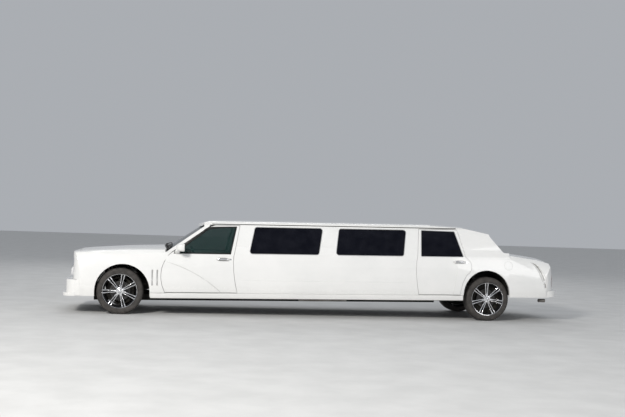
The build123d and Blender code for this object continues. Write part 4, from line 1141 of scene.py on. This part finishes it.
face = from_end(("front_bumper",), -1)
intake = Shape()
mouth = rectangle(-430, 352, 430, 424, 26)
plate(intake, face, grown(mouth, -4), 0.8, sink=1)
frame_strip(intake, face, grown(mouth, 5), grown(mouth, -6), 5, sink_in=1, tint=1)
for z in (368, 384, 400, 416):
    blade = ((-3, 0.5), (-2, 4.5), (2, 4.5), (3, 0.5))
    intake.loft([[face(y, z + dz, h) for dz, h in blade] for y in range(-420, 421, 60)], tint=1)
intake.finish("bumper_intake", ("gloss_black", "black_plastic"))
for side, hand in SIDES:
    fog = Shape()
    ring_strip(fog, face, (side * 620, 392), (52, 41), 36, 6, sink_in=1)
    plate(fog, face, disc(side * 620, 392, 43, 36), 1.0, sink=1, tint=1)
    plate(fog, face, disc(side * 620, 392, 40, 36), 2.0, crown=7, tint=2)
    fog.finish(f"fog_lamp_{hand}", ("chrome", "mirror_glass", "lamp_glass"), slot="lamp_glass")


# Tail: lamp bands, lid trim, blank plate, reflectors and exhaust tip
lamp_face = from_end(("tail_lamps",), 1)
for side, hand in SIDES:
    tail = Shape()
    edge = rectangle(side * 739, 486, side * 876, 846, 14)
    frame_strip(tail, lamp_face, edge, grown(edge, -7), 4, sink_in=1)
    across = [side * (747 + 12 * k) for k in range(11)]
    for tint, low, high in ((1, 622, 838), (2, 494, 604)):
        rows = []
        for k in range((high - low) // 4 + 1):
            z = low + 4 * k
            height = -1 if z in (low, low + (high - low) // 4 * 4) else (2.2, 3.8, 2.2)[k % 3]
            rows.append([lamp_face(y, z, height) for y in across])
        tail.loft(rows, loop=False, caps=False, tint=tint)
    rows = [[lamp_face(y, z, h) for y in across] for z, h in ((605, 0), (608, 5), (618, 5), (621, 0))]
    tail.loft(rows, loop=False, caps=False)
    tail.finish(f"tail_lamp_trim_{hand}", ("chrome", "red_lens", "pale_lens"), slot="red_lamp")
    reflector = Shape()
    bar = from_end(("rear_bumper",), 1)
    plate(reflector, bar, rectangle(side * 560, 380, side * 700, 408, 6), 2.5)
    reflector.finish(f"rear_reflector_{hand}", "red_lens")

lid = from_end(("trunk_lid",), 1)
number = Shape()
outline_points = rectangle(-152, 604, 152, 756, 8)
plate(number, lid, outline_points, 5, sink=2)
frame_strip(number, lid, grown(outline_points, 6), grown(outline_points, -4), 8, sink_in=-3, tint=1)
for y, z in ((-110, 618), (110, 618), (-110, 742), (110, 742)):
    plate(number, lid, disc(y, z, 5, 12), 8, sink=0, tint=1)
number.finish("rear_plate_blank", ("blank_plate", "chrome"), "trunk_lid_body")
strip = Shape()
plate(strip, lid, rectangle(-330, 776, 330, 812, 12), 9, sink=2, edge=3)
for y in (-90, 90):
    plate(strip, lid, rectangle(y - 34, 766, y + 34, 779, 3), 12, sink=0, tint=1)
plate(strip, lid, disc(0, 794, 9, 20), 11, sink=0, tint=2)
strip.finish("trunk_lid_strip", ("chrome", "pale_lens", "satin_trim"), "trunk_lid_body")

tip = Shape()
mouth_at = Vector(((FRONT_AXLE_X + 7090) / 1000, -0.515, 0.330))
profile = [
    (26.5, 0), (28, 4), (29, 60), (30, 110), (30.5, 116), (29, 118), (26.8, 114), (26.8, 60), (26.5, 20)
]
rings = [[mouth_at + Vector((d, r * cos(t), r * sin(t))) / 1000 for r, d in profile] for t in turns(36)]
tip.loft(rings, around=True)
tip.finish("exhaust_tip", "exhaust_steel")


# Cabin furniture
def square_ring(cells):
    """Places evenly around a square of half size 1."""
    run = [2 * k / cells - 1 for k in range(cells)]
    return [(b, -1) for b in run] + [(1, c) for c in run] + [(-b, 1) for b in run] + [(-1, -c) for c in run]


# Cushions: how square their outlines are, how far their sides pull in, depth of a sewn channel in mm, and the
# piping's radius in metres
SQUARENESS = 5
PULL_IN = 0.04
CHANNEL_DEPTH = 9
PIPING_RADIUS = 0.0042


def cushion(name, middle, along, up, half, channels=(), crown=14, body="body"):
    """Crowned leather pad with half sizes in mm along, across and up. Channels are sewn over its top, its
    sides pull in between the corners, and piping runs round its upper edge."""
    along, up = along.normalized(), up.normalized()
    across = up.cross(along)
    power = SQUARENESS
    places = {round(sin(pi * k / 32), 4) for k in range(-16, 17)}
    places |= {round(m + d, 4) for m in channels for d in (-0.035, -0.015, 0, 0.015, 0.035)}
    rings = []
    for a in sorted(places):
        reach = max(0.002, 1 - abs(a) ** power) ** (1 / power)
        ring = []
        for b, c in square_ring(8):
            k = reach * (abs(b) ** power + abs(c) ** power) ** (-1 / power)
            b, c = b * k, c * k
            sewn = CHANNEL_DEPTH * sum(exp(-(((a - m) / 0.02) ** 2)) for m in channels)
            rise = max(0, c) * (crown * (1 - a * a) * (1 - b * b) - sewn)
            pull = 1 - PULL_IN * (1 - a * a)
            out = along * a * half[0] + across * b * half[1] * pull + up * (c * half[2] + rise)
            ring.append(middle + out / 1000)
        rings.append(ring)
    pad = Shape().loft(rings)
    piping = []
    for a, b in square_ring(12):
        k = 0.985 * (abs(a) ** power + abs(b) ** power) ** (-1 / power)
        pull = 1 - PULL_IN * (1 - a * a * k * k)
        out = along * a * k * half[0] + across * b * k * half[1] * pull + up * 0.62 * half[2]
        piping.append(middle + out / 1000)
    rings = []
    for i, p in enumerate(piping):
        ahead = (piping[(i + 1) % len(piping)] - piping[i - 1]).normalized()
        out = ahead.cross(up).normalized()
        rings.append([p + (out * cos(t) + up * sin(t)) * PIPING_RADIUS for t in turns(6)])
    pad.loft(rings, around=True)
    piece = pad.finish(name, "black_leather", body, smooth=55)
    return piece


FRONT_SEAT_Y = 390
COUCH_FRONT, COUCH_REAR, COUCH_PITCH = 2256, 4694, 490

for side, hand in SIDES:
    y = side * FRONT_SEAT_Y
    cushion(f"front_seat_cushion_{hand}", level(1592, y, 482), AFT, UPWARD, (244, 238, 76), (-0.4, 0, 0.4))
    up, out = way_of(80, 520), way_of(-520, 80)
    cushion(f"front_seat_back_{hand}", level(1866, y, 818), up, out, (256, 230, 60), (-0.5, -0.15, 0.2))
    cushion(f"front_headrest_{hand}", level(1896, y, 1148), UPWARD, -AFT, (56, 124, 40), crown=8)
    base = Shape()
    base.box((1362, y - 210, 334), (1838, y + 210, 412), bevel=10)
    for x in (1400, 1760):
        for dy in (-190, 176):
            base.box((x, y + dy, 331), (x + 60, y + dy + 14, 345), bevel=2, tint=1)
    for dy in (-62, 62):
        pipe(base, [(1893, y + dy, 1050), (1895, y + dy, 1080), (1896, y + dy, 1110)], 6.5, tint=1)
    piece = base.finish(f"front_seat_base_{hand}", ("dash_plastic", "chrome"))
    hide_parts("front_seats")

for k in range(5):
    x = COUCH_FRONT - 6 + COUCH_PITCH * (k + 0.5)
    cushion(f"couch_cushion_{k + 1}", level(x, 474, 634), AFT, UPWARD, (243, 212, 64), (-0.5, 0, 0.5), 12)
    cushion(f"couch_back_{k + 1}", level(x, 778, 832), AFT, -RIGHTWARD, (243, 124, 76), (-0.5, 0, 0.5))
for k, y in enumerate((-352, 0, 352)):
    cushion(f"bench_cushion_{k + 1}", level(5402, y, 690), RIGHTWARD, UPWARD, (174, 246, 70), (-0.33, 0.33))
    out = way_of(-300, 110)
    cushion(f"bench_back_{k + 1}", level(5772, y, 905), RIGHTWARD, out, (174, 150, 60), (-0.33, 0.33))
plinth = Shape()
plinth.box((COUCH_FRONT, 276, 331), (COUCH_REAR, 688, 574), bevel=8)
plinth.box((COUCH_FRONT, 700, 574), (COUCH_REAR, 856, 704), bevel=6)
plinth.box((5164, -524, 514), (5790, 524, 624), bevel=8)
for k in range(1, 10):
    seam = COUCH_FRONT - 6 + COUCH_PITCH * k / 2
    plinth.box((seam - 2, 272, 345), (seam + 2, 277, 560), bevel=1, tint=1)
piece = plinth.finish("cabin_seat_plinths", ("black_leather", "rubber_seal"))
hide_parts("cabin_seats")

# Steering wheel: leather rim, three flat spokes and a padded boss on the column
wheel_at = level(1190, -FRONT_SEAT_Y, 900)
axis = way_of(0.906, 0.423).normalized()
over = way_of(-0.423, 0.906).normalized()
steer = Shape()
rings = []
for t in turns(56):
    out = RIGHTWARD * cos(t) + over * sin(t)
    fat = 14 + (2.2 if abs(cos(t)) > 0.8 else 0)
    rings.append([wheel_at + (out * (185 + fat * cos(a)) + axis * fat * sin(a)) / 1000 for a in turns(12)])
steer.loft(rings, around=True)
for t in (radians(0), radians(180), radians(-90)):
    out = RIGHTWARD * cos(t) + over * sin(t)
    lap = axis.cross(out)
    rows = []
    for r, w, sink in ((50, 34, -18), (110, 24, -14), (150, 19, -6), (178, 17, 0)):
        section = ((-w, -3), (-w + 4, 4), (w - 4, 4), (w, -3), (w - 4, -8), (-w + 4, -8))
        rows.append([wheel_at + (out * r + lap * a + axis * (sink + d)) / 1000 for a, d in section])
    steer.loft(rows, tint=1)
boss = [(0.1, 16), (40, 15), (62, 8), (70, -6), (66, -26), (36, -60), (34, -150), (30, -230), (0.1, -230)]
rings = []
for t in turns(28):
    out = RIGHTWARD * cos(t) * 1.12 + over * sin(t)
    rings.append([wheel_at + (out * r + axis * d) / 1000 for r, d in boss])
steer.loft(rings, loop=False, around=True, tint=1)
piece = steer.finish("steering_wheel_skin", ("black_leather", "dash_plastic"), slot="cabin_plastic")
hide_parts("steering_wheel")


# Dashboard dressing on its rear slope: binnacle, vents, middle panel, wood band and glovebox line
def dash_face(y, z, height=0):
    """The dashboard's slope from (960, 985) to (1080, 900), and its rear face below."""
    if z >= 900:
        x, out = 1080 - 120 * (z - 900) / 85, (0.578, 0.816)
    else:
        x, out = 1060 + 20 * (z - 700) / 200, (0.995, -0.099)
    return level(x + out[0] * height, y, z + out[1] * height)


dash = Shape()
hood_rows = []
for y, r in ((-560, 14), (-548, 26), (-500, 34), (-390, 40), (-280, 34), (-232, 26), (-220, 14)):
    hood_rows.append([level(1002 + 62 * cos(a), y, 946 + r * 1.6 * sin(a)) for a in spaced(0, pi, 10)])
dash.loft(hood_rows)
for y in (-500, -390, -280):
    plate(dash, dash_face, disc(y, 866, 26, 24), 4, tint=1)
for y in (-640, -90, 90, 640):
    edge = rectangle(y - 62, 838, y + 62, 884, 8)
    frame_strip(dash, dash_face, edge, grown(edge, -5), 6, tint=2)
    for z in (848, 858, 868, 878):
        slat = ((0, 1), (0, 5), (3, 5), (5, 1))
        dash.loft([[dash_face(py, z + dz, h) for dz, h in slat] for py in (y - 55, y + 55)], tint=1)
plate(dash, dash_face, rectangle(-130, 716, 130, 828, 8), 5, tint=1)
for y in (-80, 0, 80):
    plate(dash, dash_face, disc(y, 742, 16, 20), 14, sink=0, tint=2)
for y0, y1 in ((-800, -140), (140, 800)):
    plate(dash, dash_face, [(y0, 796), (y1, 796), (y1, 828), (y0, 828)], 3, tint=3)
box_edge = rectangle(200, 712, 640, 788, 10)
plate(dash, dash_face, box_edge, 3.5)
plate(dash, dash_face, disc(420, 770, 11, 16), 7, sink=0, tint=2)
dash.finish("dashboard_dressing", ("dash_plastic", "gloss_black", "satin_trim", "dark_wood"))

# Headliner, carpets and console
liner = Shape()
section = [(660, 1440), (600, 1462), (300, 1474), (0, 1478), (-300, 1474), (-600, 1462), (-660, 1440)]
rows = []
for x in range(1400, 5601, 140):
    fall = 0.045 * max(0, x - 5080)
    low = [level(x, y, z - fall) for y, z in section]
    rows.append(low + [level(x, y * 0.995, z - fall - 6) for y, z in reversed(section)])
liner.loft(rows)
liner.finish("headliner", "headliner")

carpet = Shape()
for x0, x1, left, right in ((704, 2006, -852, 852), (2054, 5100, -556, 270)):
    section = [(left, 331.5), (left, 338), (-137, 338), (-134, 447), (134, 447), (137, 338), (right, 338)]
    section += [(right, 331.5), (132, 331.5), (131, 441), (-131, 441), (-132, 331.5)]
    carpet.loft([[level(x, y, z) for y, z in section] for x in spaced(x0, x1, 8)])
carpet.finish("floor_carpet", "carpet")

console = Shape()
console.box((1120, -118, 447), (1800, 118, 560), bevel=14)
console.box((1420, -104, 558), (1780, 104, 618), bevel=22, tint=1)
pipe(console, [(1230, 0, 555), (1222, 0, 600), (1214, 0, 640)], lambda i: (22, 12, 20)[i], sides=16, tint=1)
for y in (-52, 52):
    ring_strip(console, lambda px, py, h: level(px, py, 560 + h), (1350, y), (42, 37), 28, 3, tint=2)
console.finish("centre_console", ("dash_plastic", "black_leather", "satin_trim"))

# Drinks cabinet fronts, worktop and rail, and the partition's sliding glass
bar = Shape()
bar.box((2342, -857, 820), (4308, -548, 838), bevel=5)
for k in range(5):
    x0 = 2362 + k * 386
    bar.box((x0, -561, 350), (x0 + 370, -552, 806), bevel=3, tint=1)
    bar.box((x0 + 330, -553, 640), (x0 + 342, -540, 760), bevel=3, tint=2)
pipe(bar, [(2380, -556, 862), (3325, -556, 864), (4270, -556, 862)], 5, tint=2)
for x in (2380, 2850, 3325, 3800, 4270):
    pipe(bar, [(x, -556, 836), (x, -556, 863)], 4, tint=2)
for k in range(8):
    ring_strip(bar, lambda px, py, h: level(px, py, 838 + h), (2500 + 230 * k, -700), (40, 35), 24, 4, tint=2)
bar.finish("drinks_cabinet_dressing", ("gloss_black", "dark_wood", "chrome"), slot="cabin_plastic")

divider = Shape()
divider.box((2026, -524, 996), (2034, 524, 1324), bevel=1, tint=1)
opening = rectangle(-520, 1000, 520, 1320, 12)
for way, x in ((-1, 2010), (1, 2050)):
    def on_partition(y, z, h):
        return level(x + way * h, y, z)
    frame_strip(divider, on_partition, grown(opening, 14), grown(opening, -3), 5, sink_in=2)
divider.finish("partition_glass", ("satin_trim", "dark_glass"), slot="cabin_plastic")


# Engine bay: an eight-cylinder engine that stands for the plain block, and what surrounds it
def round_rings(middle, sections, steps=32):
    """Rings about the level X axis from (station, radius) pairs."""
    y, z = middle
    return [[level(x, y + r * cos(t), z + r * sin(t)) for t in turns(steps)] for x, r in sections]


def upright(shape, middle, sections, steps, tint=0):
    """Round body about an upright axis from (radius, height) pairs."""
    shape.loft([[level(x, y, z) for x, y in disc(*middle, r, steps)] for r, z in sections], tint=tint)


def soft_box(shape, low, high, radius, tint=0):
    """Box on the level axes with rounded upright edges and softened top and bottom."""
    flat = rectangle(low[0], low[1], high[0], high[1], radius)
    soft = radius * 0.4
    rows = [(grown(flat, -soft), low[2]), (flat, low[2] + soft), (flat, high[2] - soft)]
    rows += [(grown(flat, -soft * 0.3), high[2] - soft * 0.3), (grown(flat, -soft), high[2])]
    shape.loft([[level(x, y, z) for x, y in ring] for ring, z in rows], tint=tint)


engine = Shape()
case = [
    (-150, 294), (150, 294), (180, 400), (270, 580), (255, 640), (170, 670), (60, 590), (-60, 590),
    (-170, 670), (-255, 640), (-270, 580), (-180, 400),
]
ends = ((-248, 0.93), (-240, 1), (236, 1), (246, 0.94))
engine.loft([[level(x, y * k, 294 + (z - 294) * k) for y, z in case] for x, k in ends])
engine.loft(round_rings((0, 455), [(240, 205), (262, 208), (285, 170), (360, 132), (450, 112), (480, 98)]))
for s in (-1, 1):
    cover = []
    turn = radians(-38)
    for x, k in ((-232, 0.8), (-226, 0.97), (-210, 1), (200, 1), (216, 0.97), (222, 0.8)):
        ring = []
        for a, b in ((-74, -26), (74, -26), (76, 6), (62, 34), (30, 44), (-30, 44), (-62, 34), (-76, 6)):
            y = 205 + k * (a * cos(turn) - b * sin(turn))
            ring.append(level(x, s * y, 668 + k * (a * sin(turn) * 0.9 + b * cos(turn))))
        cover.append(ring)
    engine.loft(cover, tint=1)
    for k in range(4):
        coil = [(k * 110 + x, r) for x, r in ((-165, 15), (-150, 17), (-128, 17), (-118, 12))]
        engine.loft(round_rings((s * 232, 700), coil, 12), tint=2)
    for k in range(4):
        x = -165 + 105 * k
        pipe(engine, [(x, s * 262, 560), (x, s * 290, 530), (-150 + 100 * k, s * 296, 480)], 20, tint=3)
    pipe(engine, [(-180, s * 296, 478), (200, s * 296, 470), (300, s * 250, 380)], 27, sides=12, tint=3)
for r, low, high, tint in ((158, 716, 772, 2), (150, 772, 790, 1)):
    circle = disc(10, 0, r, 40)
    rows = [(grown(circle, -6), low), (circle, low + 5), (circle, high - 5), (grown(circle, -6), high)]
    engine.loft([[level(x, y, z) for x, y in ring] for ring, z in rows], tint=tint)
upright(engine, (10, 0), ((20, 788), (20, 794), (12, 799)), 16, tint=2)
engine.loft([[level(x, y, z) for x, y in rectangle(-200, -62, 200, 62, 20)] for z in (580, 718)], tint=1)
for y, z, r in ((0, 400, 84), (0, 560, 62), (-128, 500, 52), (132, 510, 50)):
    pulley = [(-244, r * 0.5), (-262, r * 0.5), (-262, r), (-268, r - 5), (-274, r), (-280, r - 5)]
    pulley += [(-286, r), (-288, r * 0.4), (-292, r * 0.4)]
    engine.loft(round_rings((y, z), pulley), tint=2)
finishes = ("cast_steel", "satin_trim", "black_plastic", "exhaust_steel")
piece = engine.finish("engine_assembly", finishes, slot="bare_steel")
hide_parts("engine_block")

FAN_Z = 582
bay = Shape()
soft_box(bay, (-706, -316, 392), (-656, 316, 776), 12)
for k in range(30):
    y = -290 + k * 20
    fin = ((-657, -1.5), (-657, 1.5), (-653, 0))
    bay.loft([[level(x, y + dy, z) for x, dy in fin] for z in (415, 752)], tint=1)
hoop = ((186, -6), (196, -6), (196, 44), (186, 44))
rings = [[level(-650 + d, r * cos(t), FAN_Z + r * sin(t)) for r, d in hoop] for t in turns(40)]
bay.loft(rings, around=True)
for k in range(7):
    t = 2 * pi * k / 7
    rows = []
    for r in (30, 100, 172):
        w = 0.34 - r * 0.0007
        section = ((-10, -w), (-7, -w), (11, w), (8, w))
        rows.append([level(-624 + dx, r * cos(t + dt), FAN_Z + r * sin(t + dt)) for dx, dt in section])
    bay.loft(rows)
bay.loft(round_rings((0, FAN_Z), [(-648, 44), (-612, 44), (-604, 38)]))
hose = [(-292, 0, 640), (-330, 20, 700), (-480, 120, 742), (-600, 214, 735), (-652, 220, 728)]
pipe(bay, hose, 21, sides=14)
duct = [(-40, 120, 752), (-120, 230, 768), (-300, 330, 764), (-520, 352, 738), (-640, 350, 730)]
pipe(bay, duct, lambda i: (44, 46, 46, 46, 40)[i], sides=16)
for low, high, tint in (
    ((-640, -560, 560), (-440, -392, 700), 0),
    ((-636, -556, 700), (-444, -396, 738), 0),
    ((-690, -580, 540), (-420, -372, 556), 0),
    ((-660, 420, 560), (-480, 560, 726), 2),
    ((560, 190, 640), (634, 560, 850), 0),
):
    soft_box(bay, low, high, 16, tint=tint)
for x, y in ((-600, -428), (-484, -428)):
    upright(bay, (x, y), ((13, 736), (13, 744), (10, 748)), 12, tint=1)
for s in (-1, 1):
    pipe(bay, [(-560, s * 430, 378), (-560, s * 430, 470), (-560, s * 470, 545)], 16, sides=8)
upright(bay, (-570, 490), ((30, 722), (34, 730), (34, 746), (28, 752)), 20)
bay.loft(round_rings((-430, 770), [(634, 118), (600, 122), (590, 126), (584, 126), (574, 110), (560, 60)]))
bay.loft(round_rings((-430, 770), [(562, 24), (470, 24), (462, 18)], steps=16), tint=1)
soft_box(bay, (470, -462, 790), (548, -398, 832), 12, tint=2)
bay.finish("engine_bay_equipment", ("black_plastic", "satin_trim", "blank_plate"))


# Linings: felt under the hood, carpet on the trunk's sides and inside its lid
def sheet(name, rows, thick, material, body, slot):
    """Closed sheet from rows of (point, outward direction)."""
    shape = Shape()
    rings = []
    for row in rows:
        front = [p + d * thick / 1000 for p, d in row]
        back = [p - d * 2 / 1000 for p, d in reversed(row)]
        rings.append(front + back)
    shape.loft(rings)
    return shape.finish(name, material, body, slot=slot)


def under(node, xs, ys, low):
    """Rows of points on a panel's underside with the way down."""
    tree = surface(node)
    rows = []
    for x in xs:
        row = []
        for y in ys:
            hit = tree.ray_cast(level(x, y, low), UPWARD, 1.5)[0]
            row.append((hit or level(x, y, low + 300), -UPWARD))
        rows.append(row)
    return rows


felt = under("hood", spaced(-640, 520, 14), spaced(-500, 500, 14), 700)
sheet("hood_lining", felt, 7, "headliner_dark", "hood_body", "black_trim")
cloth = under("trunk_lid", spaced(6520, 6960, 8), spaced(-520, 520, 12), 600)
sheet("trunk_lid_lining", cloth, 6, "carpet", "trunk_lid_body", "cabin_plastic")
for side, hand in SIDES:
    tree = surface(f"rear_quarter_{hand}")
    rows = []
    for i in range(14):
        x = 6450 + 690 * i / 13

        def skin(z):
            return tree.ray_cast(level(x, 0, z), RIGHTWARD * side, 1.3)[0]
        top = max([z for z in range(700, 900, 10) if skin(z)] or [700]) - 20
        row = []
        for k in range(11):
            z = 490 + (top - 490) * k / 10
            hit, p = skin(z), level(x, side * (676 + 250 * (k / 10) ** 1.2), z)
            inside = [q for q in (hit, p) if q] if hit else [level(x, side * 676, z)]
            row.append((min(inside, key=lambda q: abs(q.y)), RIGHTWARD * -side))
        rows.append(row)
    sheet(f"trunk_side_lining_{hand}", rows, 5, "carpet", "body", "cabin_plastic")
mat = Shape()
soft_box(mat, (6430, -664, 487), (7150, 664, 496), 30)
soft_box(mat, (6361, -532, 492), (6369, 532, 985), 3)
mat.finish("trunk_mat", "carpet")


# Floor, light and camera

def plane(name, size, z, material):
    mesh = bpy.data.meshes.new(name)
    half = size / 2
    corners = [(-half, -half, z), (half, -half, z), (half, half, z), (-half, half, z)]
    mesh.from_pydata(corners, [], [(0, 1, 2, 3)])
    obj = bpy.data.objects.new(name, mesh)
    obj.data.materials.append(material)
    bpy.context.scene.collection.objects.link(obj)
    return obj


floor_finish = grained("floor_finish", (0.60, 0.60, 0.59), (0.66, 0.66, 0.65), 2, (0.7, 0.8), 0, 200)
floor = plane("studio_floor", 160, 0, floor_finish)
floor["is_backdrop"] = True

world = bpy.data.worlds.new("studio")
bpy.context.scene.world = world
world.use_nodes = True
background = world.node_tree.nodes["Background"]
background.inputs["Color"].default_value = (0.90, 0.94, 1.0, 1.0)
background.inputs["Strength"].default_value = 0.45


def area_light(name, place, aim, size, power, colour=(1, 1, 1)):
    data = bpy.data.lights.new(name, "AREA")
    data.shape = "RECTANGLE"
    data.size, data.size_y = size
    data.energy = power
    data.color = colour
    obj = bpy.data.objects.new(name, data)
    obj.location = place
    obj.rotation_euler = (Vector(aim) - Vector(place)).to_track_quat("-Z", "Y").to_euler()
    bpy.context.scene.collection.objects.link(obj)


area_light("key", (-9, -14, 9), (0, 0, 0.6), (3, 3), 2100, (1.0, 0.975, 0.94))
area_light("fill", (10, -13, 5), (0, 0, 0.6), (8, 4), 300)
area_light("back", (0, 12, 10), (0, 0, 0.8), (12, 4), 400)

# The photograph's camera, fitted to the wheels and window corners
CAMERA_PLACE = Vector((FRONT_AXLE_X / 1000 + 1.0017, -15.5926, 1.4961))
CAMERA_YAW, CAMERA_PITCH, CAMERA_ROLL = radians(7.8946), radians(1.0936), radians(1.8615)
FOCAL_PIXELS, IMAGE_WIDTH = 908.21, 625

cam_data = bpy.data.cameras.new("photo_camera")
cam_data.sensor_width = 36
cam_data.lens = FOCAL_PIXELS * cam_data.sensor_width / IMAGE_WIDTH
cam_data.clip_end = 300
camera = bpy.data.objects.new("photo_camera", cam_data)
ahead = Vector((sin(CAMERA_YAW) * cos(CAMERA_PITCH), cos(CAMERA_YAW) * cos(CAMERA_PITCH), sin(CAMERA_PITCH)))
right = Vector((cos(CAMERA_YAW), -sin(CAMERA_YAW), 0))
upward = right.cross(ahead)
right, upward = (
    cos(CAMERA_ROLL) * right + sin(CAMERA_ROLL) * upward,
    cos(CAMERA_ROLL) * upward - sin(CAMERA_ROLL) * right,
)
turn = Matrix((right, upward, -ahead)).transposed().to_4x4()
camera.matrix_world = Matrix.Translation(CAMERA_PLACE) @ turn
bpy.context.scene.collection.objects.link(camera)
bpy.context.scene.camera = camera
bpy.context.scene.view_settings.view_transform = "Standard"

[[list(map(float, corner)) for corner in box] for box in (cad_box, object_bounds())]
